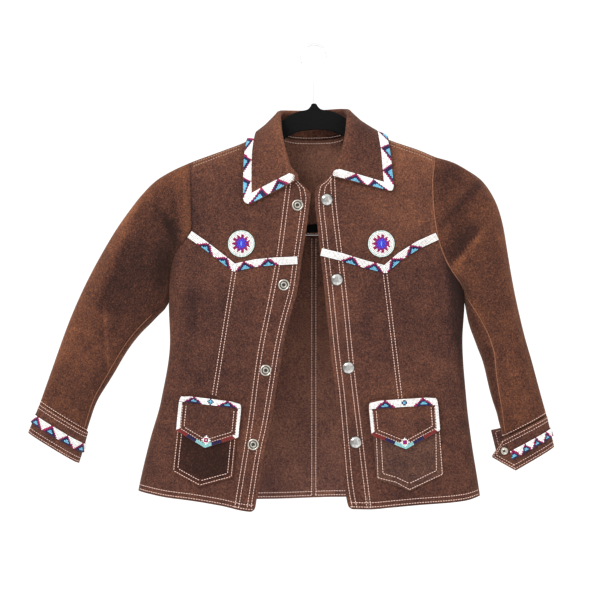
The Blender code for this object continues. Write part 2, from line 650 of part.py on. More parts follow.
def right_cuff_point(share, along, lift=0.0):
    """Points of the right cuff's outer face at a share of its height and a length along it from the tab's tip."""
    share, along = np.broadcast_arrays(np.asarray(share, float), np.asarray(along, float))
    path = np.stack([RIGHT_CUFF_PATH["along"], RIGHT_CUFF_PATH["y"]], -1)
    steps = np.linalg.norm(np.diff(path, axis=0), axis=1)
    mile = np.concatenate([[0], np.cumsum(steps)])
    at = along * mile[-1]
    back = smooth(mile, path[:, 0], at)
    y = smooth(mile, path[:, 1], at)
    step = 0.5
    run = np.stack([smooth(mile, path[:, 0], at + step) - smooth(mile, path[:, 0], at - step),
                    smooth(mile, path[:, 1], at + step) - smooth(mile, path[:, 1], at - step)], -1)
    run /= np.linalg.norm(run, axis=-1, keepdims=True)
    back = back - lift * run[..., 1]
    y = y + lift * run[..., 0]
    top, bottom = np.array(RIGHT_CUFF_TOP), np.array(RIGHT_CUFF_BOTTOM)
    start = top + share[..., None] * (bottom - top)
    way = np.array(RIGHT_CUFF_LINE["top"]) * (1 - share[..., None]) + np.array(
        RIGHT_CUFF_LINE["bottom"]) * share[..., None]
    hidden = (np.clip(back - UNDERLAP_FROM, 0, None) * (y > 0))[..., None]
    c, s = math.cos(math.radians(UNDERLAP_TURN)), math.sin(math.radians(UNDERLAP_TURN))
    turned_way = way @ np.array([[c, -s], [s, c]])
    xz = start + (back[..., None] - hidden) * way + hidden * turned_way
    return np.stack([xz[..., 0], y, xz[..., 1]], -1)


def right_cuff_long():
    path = np.stack([RIGHT_CUFF_PATH["along"], RIGHT_CUFF_PATH["y"]], -1)
    return float(np.linalg.norm(np.diff(path, axis=0), axis=1).sum())


def right_cuff():
    share = RIGHT_CUFF_ROWS["share"]
    notch = RIGHT_CUFF_ROWS["notch"] / right_cuff_long()
    t = np.linspace(0, 1, 31)
    along = notch[:, None] + (1 - notch[:, None]) * t[None, :]
    return right_cuff_point(share[:, None], along)


def right_cuff_band():
    share = np.linspace(*RIGHT_CUFF_BEADS, 3)[:, None]
    return right_cuff_point(share, np.linspace(*RIGHT_CUFF_BAND, 29)[None, :], LAID + 0.15)


def clear_of_body(point, lift):
    """Points pushed out so that they are at least lift from the body's outer face."""
    x, y, z = point[..., 0], point[..., 1], point[..., 2]
    top = smooth(SHOULDER["x"], SHOULDER["z"], x)
    centre = top - CAP_FALL
    face = np.where(y < 0, -1, 1)
    front = depth(x, np.minimum(z, centre), -1)
    back = depth(x, np.minimum(z, centre), 1)
    deep = np.where(face < 0, front, back) + lift
    high = np.maximum(z - centre, 0)
    reach = np.hypot(y / deep, high / (CAP_FALL + lift))
    grow = np.maximum(1 / np.maximum(reach, 1e-6), 1)
    return np.stack([x, y * grow, np.where(z > centre, centre + high * grow, z)], -1)


def collar_frame(station):
    number = np.arange(len(COLLAR["face"]), dtype=float)
    c = {name: smooth(number, column, station) for name, column in COLLAR.items()}
    face = np.where(c["face"] < 0, -1, 1)
    seam_y = np.where(face < 0, -depth(c["seam_x"], c["seam_z"], -1), depth(c["seam_x"], c["seam_z"], 1))
    seam = np.stack([c["seam_x"], seam_y, c["seam_z"]], -1)
    fold = np.stack([c["fold_x"], c["fold_y"], c["fold_z"]], -1)
    edge_y = np.where(face < 0, -depth(c["edge_x"], c["edge_z"], -1), depth(c["edge_x"], c["edge_z"], 1))
    edge = np.stack([c["edge_x"], edge_y * np.abs(c["face"]) ** 0.5, c["edge_z"]], -1)
    return seam, fold, edge, c["bend"]


def unit(v):
    return v / np.linalg.norm(v, axis=-1, keepdims=True)


def collar_section(station):
    """Corner points of the collar's outer face at a station: stand, bend and the start and end of the fall."""
    seam, fold, edge, bend = collar_frame(station)
    up = unit(fold - seam)
    neck_centre = np.array([0.0, -4.0, 0.0])
    away = (fold - neck_centre) * np.array([1, 1, 0])
    away = unit(away - (away * up).sum(-1, keepdims=True) * up)
    bend = bend[..., None]
    centre = fold - bend * up
    return seam + 1.2 * up, centre, bend, up, away, edge


def collar_stand(station, share):
    """Points of the stand's inner face, from the neck seam at share 0 to the bend at 1."""
    seam, centre, bend, up, away, _ = collar_section(station)
    top = centre - bend * away
    return seam + (top - seam) * share[..., None]


def collar_bend(station, turn):
    _, centre, bend, up, away, _ = collar_section(station)
    turn = turn[..., None]
    return centre + bend * (-away * np.cos(turn) + up * np.sin(turn))


def collar_fall(station, share, lift=0.0):
    """Points of the fall's outer face, from the bend at share 0 to the collar's edge at 1."""
    _, centre, bend, up, away, edge = collar_section(station)
    share = share[..., None]
    top = centre + bend * away
    flat = top + (edge - top) * share
    sag = COLLAR_EDGE_LIFT + 3.0 * (1 - share[..., 0])
    return clear_of_body(flat, sag + lift)


def collar_grid(stations):
    shares = [("stand", 0.0), ("stand", 0.5), ("stand", 1.0), ("bend", 0.33), ("bend", 0.67),
              ("fall", 0.0), ("fall", 0.25), ("fall", 0.5), ("fall", 0.75), ("fall", 1.0)]
    columns = []
    for part, share in shares:
        value = np.full(stations.shape, share)
        if part == "stand":
            columns.append(collar_stand(stations, value))
        elif part == "bend":
            columns.append(collar_bend(stations, value * math.pi))
        else:
            columns.append(collar_fall(stations, value))
    return np.stack(columns, 1)


def collar_stations(first):
    """Stations from one end of the collar to the middle of its back."""
    return joined(line(first, 2.0, 3), line(2.0, (len(COLLAR["face"]) - 1) / 2, 13))


def collar_band():
    """Grid of the beaded band that follows the collar's three free edges."""
    last = len(COLLAR["face"]) - 1.0
    margin = 0.9
    def fall_long(station):
        a = collar_fall(station, np.zeros_like(station))
        b = collar_fall(station, np.ones_like(station))
        return np.linalg.norm(a - b, axis=-1)
    def first_step(share, end):
        away = np.abs(end - 0.5)
        a = collar_fall(np.full(share.shape, end), share)
        b = collar_fall(np.full(share.shape, abs(end - 1.0)), share)
        return np.linalg.norm(a - b, axis=-1) + 0 * away
    inner_turn = BEAD_WIDE + margin
    long = float(fall_long(np.array([0.0]))[0])
    along = line(0.0, 1 - margin / long, 6)
    near = along * (1 - inner_turn / long)
    reach = first_step(along, 0.0)
    outer = [np.stack([margin / reach, along], -1)]
    inner = [np.stack([inner_turn / first_step(near, 0.0), near], -1)]
    start_in = float(inner[0][-1, 0])
    stations = collar_stations(float(outer[0][-1, 0]))
    tucked = collar_stations(start_in)
    outer.append(np.stack([stations, 1 - margin / fall_long(stations)], -1)[1:])
    inner.append(np.stack([tucked, 1 - inner_turn / fall_long(tucked)], -1)[1:])
    half_outer, half_inner = np.concatenate(outer), np.concatenate(inner)
    mirror = np.array([last, 0.0])
    turned = np.array([-1.0, 1.0])
    outer = joined(half_outer, mirror + turned * half_outer[::-1])
    inner = joined(half_inner, mirror + turned * half_inner[::-1])
    share = np.array([0.0, 0.5, 1.0])[:, None, None]
    where = outer[None] + share * (inner - outer)[None]
    return collar_fall(where[..., 0], where[..., 1], 2 * LAID)


def ribbon(xz, wide, face, lift):
    """Grid of a band of even width along a path on the body."""
    run = np.gradient(xz, axis=0)
    run /= np.linalg.norm(run, axis=1, keepdims=True)
    aside = np.stack([-run[:, 1], run[:, 0]], -1)
    turn = np.sum(run[1:-1] * unit(np.diff(xz, axis=0)[1:]), axis=1)
    aside[1:-1] /= np.maximum(turn, 0.7)[:, None]
    share = np.array([-0.5, 0.0, 0.5])[:, None, None] * wide
    return on_body(xz[None] + share * aside[None], face, lift)


def yoke_band(side):
    sign = SIDES[side]["sign"]
    point = SIDES[side]["yoke_point"]
    front = {"left": -19.0, "right": 8.6}[side]
    arm = float(seam_x(side, "armhole", -237.0)) - sign * 1.5
    x = joined(line(front, point, 6), line(point, arm, 5))
    return ribbon(pairs(x, yoke_z(x)), BEAD_WIDE, -1, LAID + 0.1)


def pocket_grid(corners, lift, rows=5, columns=3):
    """Grid of a pocket or flap with a pointed lower edge, on the front panel."""
    tl, tr, br, tip, bl = (np.array(c, float) for c in corners)
    t = np.linspace(0, 1, columns + 1)[:, None]
    middle = (tl + tr) / 2
    top = joined(tl + t * (middle - tl), middle + t * (tr - middle))
    bottom = joined(bl + t * (tip - bl), tip + t * (br - tip))
    t = np.linspace(0, 1, rows + 1)[:, None]
    return on_body(patch(top, bottom, tl + t * (bl - tl), tr + t * (br - tr)), -1, lift)


def flap_outline(side, inset, top_inset):
    """The flap's outline moved in by inset, from its top left corner round by the point."""
    tl, tr, br, tip, bl = (np.array(c, float) for c in SIDES[side]["flap"])
    middle = (tl + tr + br + bl) / 4
    corners = np.array([tl, tr, br, tip, bl])
    edges = np.roll(corners, -1, 0) - corners
    normals = unit(np.stack([-edges[:, 1], edges[:, 0]], -1))
    normals *= np.sign(((middle - corners) * normals).sum(1))[:, None]
    amounts = np.array([top_inset, inset, inset, inset, inset])
    moved = []
    for i in range(5):
        n = np.array([normals[i - 1], normals[i]])
        offset = np.array([amounts[i - 1], amounts[i]])
        moved.append(corners[i] + np.linalg.solve(n, offset))
    return np.array(moved)


def flap_band(side, lift):
    """The straight beaded band along the top of a flap."""
    outer = flap_outline(side, 0.6, 0.6)[:2]
    inner = flap_outline(side, 0.6, 0.6 + BEAD_WIDE)[:2]
    t = np.linspace(0, 1, 7)[None, :, None]
    s = np.linspace(0, 1, 3)[:, None, None]
    top = outer[0] + t * (outer[1] - outer[0])
    low = inner[0] + t * (inner[1] - inner[0])
    return on_body(top + s * (low - top), -1, lift)


def flap_roll(side, lift):
    """The narrow beaded edging down a flap's sides and round its point."""
    start = BEAD_WIDE + 1.2
    outer = flap_outline(side, 0.5, start)
    inner = flap_outline(side, 0.5 + ROLL_WIDE, start)
    order = [1, 2, 3, 4, 0]
    steps = [3, 4, 4, 3]
    lines = []
    for ring in (outer, inner):
        ring = ring[order]
        lines.append(joined(*[ring[i] + np.linspace(0, 1, n + 1)[:, None] * (ring[i + 1] - ring[i])
                              for i, n in enumerate(steps)]))
    s = np.linspace(0, 1, 2)[:, None, None]
    return on_body(lines[0][None] + s * (lines[1] - lines[0])[None], -1, lift)


def turned(name, profile, look, steps, place, normal):
    """A turned piece: its profile of radius and height runs from the axis or the bore out and round."""
    mesh = bpy.data.meshes.new(name)
    points = [(r * MM, 0, h * MM) for r, h in profile]
    hollow = profile[0][0] > 0
    edges = [(i, i + 1) for i in range(len(points) - 1)] + ([(len(points) - 1, 0)] if hollow else [])
    mesh.from_pydata(points, edges, [])
    obj = add(name, mesh, look, place * MM)
    screw = obj.modifiers.new("turn", "SCREW")
    screw.steps = screw.render_steps = steps
    screw.use_merge_vertices = True
    screw.merge_threshold = 0.00002
    axis = bpy_vector(normal)
    obj.rotation_euler = axis.to_track_quat("Z", "Y").to_euler()
    return obj


def bpy_vector(values):
    from mathutils import Vector
    return Vector(tuple(float(v) for v in values))


CAP_PROFILE = [(0, 3.6), (3.6, 3.3), (6.0, 2.3), (7.2, 1.1), (SNAP_RADIUS, 0.4), (6.8, 0), (0, 0)]
SOCKET_PROFILE = [(2.3, 1.0), (2.5, 2.2), (3.3, 2.6), (5.4, 2.9), (6.7, 2.1),
                  (SNAP_RADIUS, 0.7), (6.9, 0), (2.3, 0)]
CUFF_SNAP_PROFILE = [(1.6, 0.8), (1.8, 1.6), (2.5, 2.0), (3.7, 2.1), (4.6, 1.4), (4.9, 0.6), (4.5, 0), (1.6, 0)]
ROSETTE_PROFILE = [(0, 2.6), (6, 2.5), (12, 2.2), (15.4, 1.6), (ROSETTE_RADIUS, 0.7), (ROSETTE_RADIUS, 0), (0, 0)]


def surface_frame(x, z, face, lift):
    """A point on the body and the way that its outer face looks."""
    xz = np.array([x, z], float)
    point = on_body(xz, face, lift)
    return point, unit(on_body(xz, face, 1.0) - on_body(xz, face, 0.0))


def add_snaps(side, profile, look):
    for i, (x, z) in enumerate(zip(SIDES[side]["snaps"]["x"], SIDES[side]["snaps"]["z"])):
        place, normal = surface_frame(x, z, -1, LAID)
        turned(f"snap_{side}_{i + 1}", profile, look, 14, place, normal)


def hanger(look):
    """The flat hanger body, one outline with one hole, tilted about its neck."""
    turn = math.radians(HANGER_TILT)
    tilt = np.array([[math.cos(turn), -math.sin(turn)], [math.sin(turn), math.cos(turn)]])
    pivot = np.array([0, HANGER_TOP["z"][0]])
    curve = bpy.data.curves.new("hanger", "CURVE")
    curve.dimensions = "2D"
    curve.fill_mode = "BOTH"
    curve.extrude = HANGER_THICK / 2 * MM
    bar_steps = 4
    for rows, low in ((HANGER_TOP, HANGER_BAR[1]), (HANGER_HOLE, HANGER_BAR[0])):
        number = np.arange(len(rows["x"]), dtype=float)
        fine = np.linspace(0, number[-1], 2 * len(number) - 1)
        half = pairs(smooth(number, rows["x"], fine), smooth(number, rows["z"], fine))
        floor = pairs(line(half[-1, 0], -half[-1, 0], bar_steps), low)[1:-1]
        outline = np.concatenate([half, floor, half[:0:-1] * (-1, 1)])
        outline = (outline - pivot) @ tilt.T + pivot
        spline = curve.splines.new("POLY")
        spline.points.add(len(outline) - 1)
        for point, (x, z) in zip(spline.points, outline * MM):
            point.co = (x, z, 0, 1)
        spline.use_cyclic_u = True
    obj = add_curve("hanger", curve, look)
    obj.rotation_euler = (math.pi / 2, 0, 0)
    return obj


def add_curve(name, curve, look):
    obj = bpy.data.objects.new(name, curve)
    curve.materials.append(look)
    jacket.objects.link(obj)
    return obj


def hook(look):
    """The wire hook: a straight shank, a bend to the right and most of a circle over the rail."""
    centre = np.array([0.0, -(HOOK_RADIUS - WIRE / 2)])
    shank = [(0, HANGER_TOP["z"][0] + SEAM), (0, -58), (0, -46), (2.2, -39.5), (7, -33), (11.6, -27.5)]
    around = np.radians(np.linspace(-24, 205, 18))
    circle = centre + HOOK_RADIUS * np.stack([np.cos(around), np.sin(around)], -1)
    points = np.concatenate([np.array(shank, float), circle])
    curve = bpy.data.curves.new("hanger_hook", "CURVE")
    curve.dimensions = "3D"
    curve.bevel_depth = WIRE / 2 * MM
    curve.bevel_resolution = 2
    curve.use_fill_caps = True
    spline = curve.splines.new("POLY")
    spline.points.add(len(points) - 1)
    for point, (x, z) in zip(spline.points, points * MM):
        point.co = (x, 0, z, 1)
    return add_curve("hanger_hook", curve, look)


def clear_scene():
    for obj in list(bpy.data.objects):
        bpy.data.objects.remove(obj)


clear_scene()
jacket = bpy.data.collections.new("beaded_suede_jacket")
bpy.context.scene.collection.children.link(jacket)


def build():
    suede = material("suede", (0.115, 0.052, 0.034), 0.95)
    trim = material("suede_trim", (0.10, 0.045, 0.03), 0.95)
    beads = material("beadwork", (0.82, 0.80, 0.76), 0.35)
    snap_metal = material("snap_metal", (0.55, 0.52, 0.47), 0.3, 1.0)
    velvet = material("hanger_black", (0.012, 0.012, 0.014), 0.9)
    steel = material("hook_steel", (0.75, 0.75, 0.75), 0.2, 1.0)

    front, back = np.array([0, -1, 0]), np.array([0, 1, 0])
    for side in SIDES:
        wall(f"front_yoke_{side}", front_yoke(side), SUEDE, suede, front)
        wall(f"front_panel_{side}", front_panel(side), SUEDE, suede, front)
        wall(f"front_band_{side}", front_band(side), DOUBLED, trim, front)
        wall(f"back_panel_{side}", back_panel(side), SUEDE, suede, back)
        wall(f"sleeve_{side}", sleeve(side), SUEDE, suede, back, ring=True)
        pocket_top = 2 * LAID + SUEDE
        wall(f"pocket_{side}", pocket_grid(SIDES[side]["pocket"], LAID), SUEDE, suede, front, True)
        wall(f"pocket_flap_{side}", pocket_grid(SIDES[side]["flap"], pocket_top, 3), SUEDE, trim, front, True)
        on_flap = 3 * LAID + 2 * SUEDE
        wall(f"flap_band_{side}", flap_band(side, on_flap), BEAD_HIGH, beads, front, True)
        wall(f"flap_edging_{side}", flap_roll(side, on_flap), BEAD_HIGH, beads, front, True)
        wall(f"yoke_band_{side}", yoke_band(side), BEAD_HIGH, beads, front, True)
        place, normal = surface_frame(*SIDES[side]["rosette"], -1, LAID)
        turned(f"rosette_{side}", ROSETTE_PROFILE, beads, 20, place, normal)
    wall("back_yoke", back_yoke(), SUEDE, suede, back)
    wall("cuff_left", left_cuff(), DOUBLED, trim, front)
    fold = np.array([1, 0, 0])
    wall("cuff_right", right_cuff(), DOUBLED, trim, fold)
    wall("cuff_band_left", left_cuff_band(), BEAD_HIGH, beads, front, True)
    wall("cuff_band_right", right_cuff_band(), BEAD_HIGH, beads, fold, True)
    place = right_cuff_point(*RIGHT_CUFF_SNAP, LAID)
    turned("snap_cuff_right", CUFF_SNAP_PROFILE, snap_metal, 14, place, place - right_cuff_point(*RIGHT_CUFF_SNAP))
    half = collar_stations(0.0)
    stations = joined(half, 2 * half[-1] - half[::-1])
    wall("collar", collar_grid(stations), COLLAR_WALL, suede, back + [0, 0, 1])
    wall("collar_band", collar_band(), BEAD_HIGH, beads, back, True)
    add_snaps("left", SOCKET_PROFILE, snap_metal)
    add_snaps("right", CAP_PROFILE, snap_metal)
    hanger(velvet)
    hook(steel)


build()
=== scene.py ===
"""The looks of a child's beaded suede western jacket, hung open on a flat hanger.

The tables are in millimetres: +Z is up, the front looks along -Y, and left and
right are those of someone who faces the front.
"""

import math

import bpy
import numpy as np
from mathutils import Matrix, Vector


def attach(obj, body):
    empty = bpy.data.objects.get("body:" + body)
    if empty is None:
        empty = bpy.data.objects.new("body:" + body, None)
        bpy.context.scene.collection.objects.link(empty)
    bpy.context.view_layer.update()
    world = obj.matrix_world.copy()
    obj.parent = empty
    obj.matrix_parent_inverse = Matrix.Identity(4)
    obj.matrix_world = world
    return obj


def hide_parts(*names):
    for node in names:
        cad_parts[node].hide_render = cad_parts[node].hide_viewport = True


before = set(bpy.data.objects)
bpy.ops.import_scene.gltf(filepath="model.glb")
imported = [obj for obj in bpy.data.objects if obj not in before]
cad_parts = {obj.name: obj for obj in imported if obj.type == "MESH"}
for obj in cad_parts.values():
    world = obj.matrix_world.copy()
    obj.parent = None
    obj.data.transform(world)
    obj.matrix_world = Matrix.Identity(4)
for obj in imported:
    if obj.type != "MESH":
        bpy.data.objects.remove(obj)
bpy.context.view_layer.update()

MM = 0.001
FINE = 6            # points of the fine surface for one step of the plain one

# Driving sizes
SUEDE = 1.5         # one layer of suede
DOUBLED = 2.4       # front band and cuffs, two layers stitched together
SEAM = 0.3          # gap between two pieces at a seam
SIDE_SEAM = 0.25    # from the hanger's plane to the edges of the side and shoulder seams
ARM_SEAM = 0.15     # from the armhole's line to the edges on both sides of it
LAID = 0.45         # gap under a piece that lies on another
BEAD_WIDE = 9.4     # width of the beaded bands
COLLAR_BEADS = 11.2  # width of the one round the collar
FLAP_BEADS = {"left": 8.0, "right": 10.2}   # width of those along the flaps
ROLL_WIDE = 4.2     # width of the narrow beaded edging on the flaps
ROUND = 2.5         # how square the body's cross-section is, 2 is an ellipse
CAP_FALL = 45.0     # how far below the shoulder line the cloth turns over
BACK_YOKE_Z = -236.0    # height of the back yoke's seam
HANGER_THICK = 5.6
HANGER_TILT = 1.5   # degrees, the right arm hangs higher
WIRE = 3.4          # hook wire
HOOK_RADIUS = 16.3  # to the middle of the wire


def table(names, rows):
    """A short table as a dictionary of named columns."""
    return dict(zip(names.split(), np.array(rows, float).T))


def rows_of(columns, face=None):
    """A table's rows as dictionaries, all of them or those of one face."""
    rows = [dict(zip(columns, row)) for row in zip(*columns.values())]
    return [row for row in rows if face is None or row["face"] == face]


# Half widths and depths of the body at each height
BODY = table("z left right front back", [
    (-80, 172, 178, 25, 26),
    (-150, 176, 182, 29, 30),
    (-200, 178, 185, 33, 32),
    (-250, 180, 187, 36, 34),
    (-322, 181.5, 188, 39, 36),
    (-368, 180, 185.5, 40, 37),
    (-443, 191, 190.5, 41, 39),
    (-493, 205, 196.5, 43, 41),
    (-545, 217.4, 204.8, 44.3, 42.4),
    (-580, 224, 210, 45, 43),
])

# Top of the shoulders
SHOULDER = table("x z", [
    (-176, -156), (-155, -146.5), (-112, -130.6), (-85, -120), (-70, -110.5),
    (-50, -97), (-38, -91), (0, -85), (38, -90), (50, -95), (70, -106),
    (92, -117), (131, -130.6), (152, -139.5), (191, -155.6),
])

# Soft folds in the body: a ridge or a trough from one point to another
FOLDS = table("face x0 z0 x1 z1 width deep", [
    (-1, -166, -315, -176, -470, 13, -3.0),
    (-1, -134, -330, -150, -430, 12, -2.2),
    (-1, -58, -300, -84, -420, 13, 2.0),
    (-1, 158, -290, 150, -420, 13, -2.6),
    (-1, 178, -400, 186, -520, 12, 2.4),
    (-1, 60, -310, 72, -420, 14, 1.8),
    (1, -108, -270, -132, -560, 20, -4.5),
    (1, -60, -300, -66, -560, 18, 2.5),
    (1, 62, -290, 60, -560, 18, 2.8),
    (1, 112, -265, 126, -560, 20, -4.0),
])

HEM = {
    -1: table("x z", [(-222, -555), (-206, -558), (-183, -562), (-153, -565.3),
                      (-116, -571), (-76, -578.5), (40, -575), (68, -575.5), (93, -573.5),
                      (130, -570.5), (167, -568.5), (188, -566.5), (206, -562)]),
    1: table("x z", [(-222, -554.5), (-110, -568), (-72, -571), (-32, -570),
                     (0, -568.7), (28, -568), (110, -568), (206, -561.5)]),
}

# Front yoke seam, with its point over each dart
YOKE = table("x z", [
    (-156, -236), (-135, -250.6), (-115, -266), (-98.7, -279), (-73, -273.5),
    (-51.5, -271.5), (-21, -270), (8, -259.5), (33, -265.7), (61.5, -274.5),
    (87.4, -281), (106, -265), (128, -251), (152, -240),
])

SIDES = {
    "left": {
        "sign": -1,
        "neck": (-50, -97),
        "shoulder": (-155, -146.5),
        "yoke_point": -98.7,
        "dart_hem": -138.0,
        "dart_foot": (-123.5, -436.0),
        "armhole": table("z x", [
            (-146.5, -155), (-182, -153), (-229, -152), (-242.5, -159),
            (-255, -169.5), (-271, -177), (-288, -179.8), (-305, -180.9), (-322, -181.5)]),
        "neckline": table("x z", [
            (-50, -97), (-47.5, -108), (-44, -121), (-39, -136), (-33.5, -149),
            (-29, -157), (-23.7, -164.6), (-17.5, -172), (-9.5, -179.7), (-4, -186)]),
        "band_seam": table("z x", [
            (-157, -29), (-180, -32.3), (-264, -43.4), (-325, -55), (-370, -64.3),
            (-404, -69.9), (-466, -77.9), (-528, -87.8), (-580, -96.5)]),
        "front_edge": table("z x", [
            (-186, -4), (-201, -5.6), (-240, -11), (-271, -15.8), (-305, -20.5),
            (-337, -29.2), (-370, -37), (-424, -45.9), (-474, -54.4),
            (-502, -60.8), (-580, -73.6)]),
        "snaps": table("x z", [(-20.5, -201), (-37.5, -299.4), (-59.7, -404.6), (-75, -495.7)]),
        "rosette": (-89.8, -248.7),
        "pocket": [(-165, -438), (-91, -445.5), (-100, -536.7), (-140.8, -548), (-175, -530)],
        "flap": [(-164.6, -435.3), (-87.8, -443.6), (-92.4, -487.4), (-133.8, -500.2),
                 (-168.6, -480)],
    },
    "right": {
        "sign": 1,
        "neck": (50, -95),
        "shoulder": (152, -139.5),
        "yoke_point": 87.4,
        "dart_hem": 115.0,
        "dart_foot": (106.3, -441.0),
        "armhole": table("z x", [
            (-139.5, 152), (-173, 147.5), (-200, 148.5), (-237.5, 153.5), (-249, 156.6),
            (-270, 165), (-284, 173.5), (-300, 184.5), (-310, 187.2), (-322, 188)]),
        "neckline": table("x z", [
            (50, -95), (47.5, -106), (44, -119), (39, -132), (33, -144),
            (28, -152), (22.5, -159.5), (17.2, -167), (10, -172.5), (4.8, -176.6), (0.8, -183)]),
        "band_seam": table("z x", [
            (-159, 22.5), (-195, 24), (-244, 29.5), (-318, 38), (-404, 46.6),
            (-466, 54), (-528, 61.4), (-580, 68)]),
        "front_edge": table("z x", [
            (-183, 0.8), (-201, 1.2), (-232, 4.7), (-264, 7.9), (-300, 12.1),
            (-325, 14.7), (-385, 20.8), (-432, 26.6), (-491, 31.9), (-549, 37.4), (-580, 43.6)]),
        "snaps": table("x z", [(15.5, -194.1), (28, -293), (42, -401.5), (51, -492.9)]),
        "rosette": (82.7, -248.7),
        "pocket": [(69, -446.5), (150, -442), (159.5, -533), (117.5, -553.2), (76.5, -538)],
        "flap": [(65.4, -441.6), (151.3, -437.2), (154.2, -478.9), (112.2, -502), (69.7, -484.6)],
    },
}

# Sleeve sections: outer and inner outline points, and half the depth
SLEEVES = {
    "left": table("ox oz ix iz deep", [
        (-155, -146.5, -181.5, -322, 24),
        (-175, -155.6, -186.2, -329.4, 27),
        (-196.2, -168.1, -195, -338.1, 29),
        (-214.5, -186, -204.5, -348, 29),
        (-230, -205.6, -213.8, -357, 28),
        (-247.5, -230.6, -222.5, -366.9, 27),
        (-262.5, -255.6, -231.2, -378.5, 26),
        (-277, -281.9, -240, -392.5, 25),
        (-289, -306, -247.5, -405.6, 23.5),
        (-300, -330.6, -255, -418, 22),
        (-310, -355.6, -262.5, -429.7, 20.5),
        (-319, -380.6, -269.5, -441.3, 19),
        (-327.8, -405.6, -275, -453.8, 17.5),
        (-335.8, -428.1, -279.4, -467.2, 16),
        (-342, -445.6, -284, -481.5, 15),
    ]),
    "right": table("ox oz ix iz deep", [
        (152, -139.5, 188, -322, 24),
        (172.5, -145.6, 189.2, -327, 28),
        (191.2, -155.6, 190.6, -334, 30),
        (208.8, -168.1, 192.4, -343, 30),
        (221.2, -184.4, 195.5, -354, 29),
        (230, -203.1, 200, -366, 28),
        (236.2, -225.6, 205, -379.4, 27),
        (240.5, -250.6, 210, -392, 26),
        (245, -278.1, 213.8, -405.6, 24.5),
        (250, -305.6, 216.8, -419, 23),
        (256.2, -334.4, 220, -432.5, 21.5),
        (263.8, -365.6, 223.8, -445.6, 20),
        (272.5, -395.6, 228, -458.1, 18.5),
        (281.2, -428.1, 231.5, -472, 17),
        (290.4, -461.5, 236, -488.5, 15.5),
    ]),
}
ARMHOLE_RINGS = 4    # rings over which the armhole's shape fades out of the sleeve
FOLD_RINGS = 1.3     # rings over which the sleeve's folds grow from the armhole
RING_LONG = 24.0     # millimetres for one ring
DEGREE_LONG = 0.9    # and for one degree round the sleeve

# Folds along and across the sleeves, by ring and by angle round the section in degrees
SLEEVE_FOLDS = {
    "left": table("ring0 angle0 ring1 angle1 wide deep", [
        (2.4, 36, 0.7, 92, 10, -5.0),
        (3.5, 34, 7.6, 64, 14, 3.2),
        (7.0, 86, 8.4, 122, 7, -2.0),
        (8.0, 168, 9.6, 132, 9, -1.8),
        (9.0, 96, 13.0, 104, 12, -1.6),
        (7.0, 235, 10.0, 262, 12, -2.4),
    ]),
    "right": table("ring0 angle0 ring1 angle1 wide deep", [
        (2.9, 76, 0.7, 116, 10, 6.5),
        (2.8, 63, 0.6, 103, 8, -6.0),
        (2.8, 42, 1.0, 80, 9, 4.0),
        (1.7, 30, 0.5, 82, 10, -4.0),
        (1.0, 146, 5.5, 128, 7, -2.0),
        (5.5, 128, 12.9, 140, 7, -2.0),
        (9.0, 50, 13.5, 70, 12, 1.8),
        (8.0, 230, 10.5, 255, 12, -2.2),
    ]),
}

LEFT_CUFF = table("ox oz ix iz deep", [
    (-342.2, -446.3, -284.3, -482.3, 15.4),
    (-350, -465.6, -289.6, -501.6, 14.5),
    (-357.2, -483.4, -295.6, -521, 14),
])
LEFT_CUFF_ENDS = (-150.0, 240.0)     # degrees round it of the hidden end and of the tab's corners
LEFT_CUFF_TIP = 22.0                 # degrees that the tab's point reaches further
LEFT_CUFF_RISE = (172.0, 32.0)       # degrees at which the tab starts to rise, and over which
CUFF_BAND = (0.37, 0.65)             # shares of the cuff's height between which its beads lie

# The open right cuff, from the tip of its tab round to the underlap: distance
# along the cuff's own line from its outer fold, depth and the height at that place
RIGHT_CUFF_PATH = table("along y", [
    (83, -13.5), (72, -17), (56, -19.5), (36, -20), (16, -18), (5, -13),
    (0.6, -6), (0, 0), (0.8, 6.5), (6, 13.5), (18, 18.5), (30, 20.6), (45, 20.4),
    (58, 17.5), (65, 15.5), (71.5, 16),
])
RIGHT_CUFF_TOP = (291, -462.4)
RIGHT_CUFF_BOTTOM = (300, -500.5)
RIGHT_CUFF_LINE = {"top": (-0.893, -0.450), "bottom": (-0.863, -0.505)}
UNDERLAP_FROM = 18.0                # past this length from the fold the hidden end turns up
UNDERLAP_TURN = 15.0                # and by how many degrees
RIGHT_CUFF_BAND = (0.142, 0.9)      # shares of the cuff's length between which its beads lie
# Rows down the right cuff, and how far the tab is cut back there
RIGHT_CUFF_ROWS = table("share notch", [
    (0, 21.5), (0.16, 10), (0.31, 0), (0.65, 13), (1, 26),
])
RIGHT_CUFF_BEADS = (0.41, 0.665)    # shares of its height between which its beads lie
RIGHT_CUFF_SNAP = (0.325, 0.103)    # share of its height and of its length where its snap is

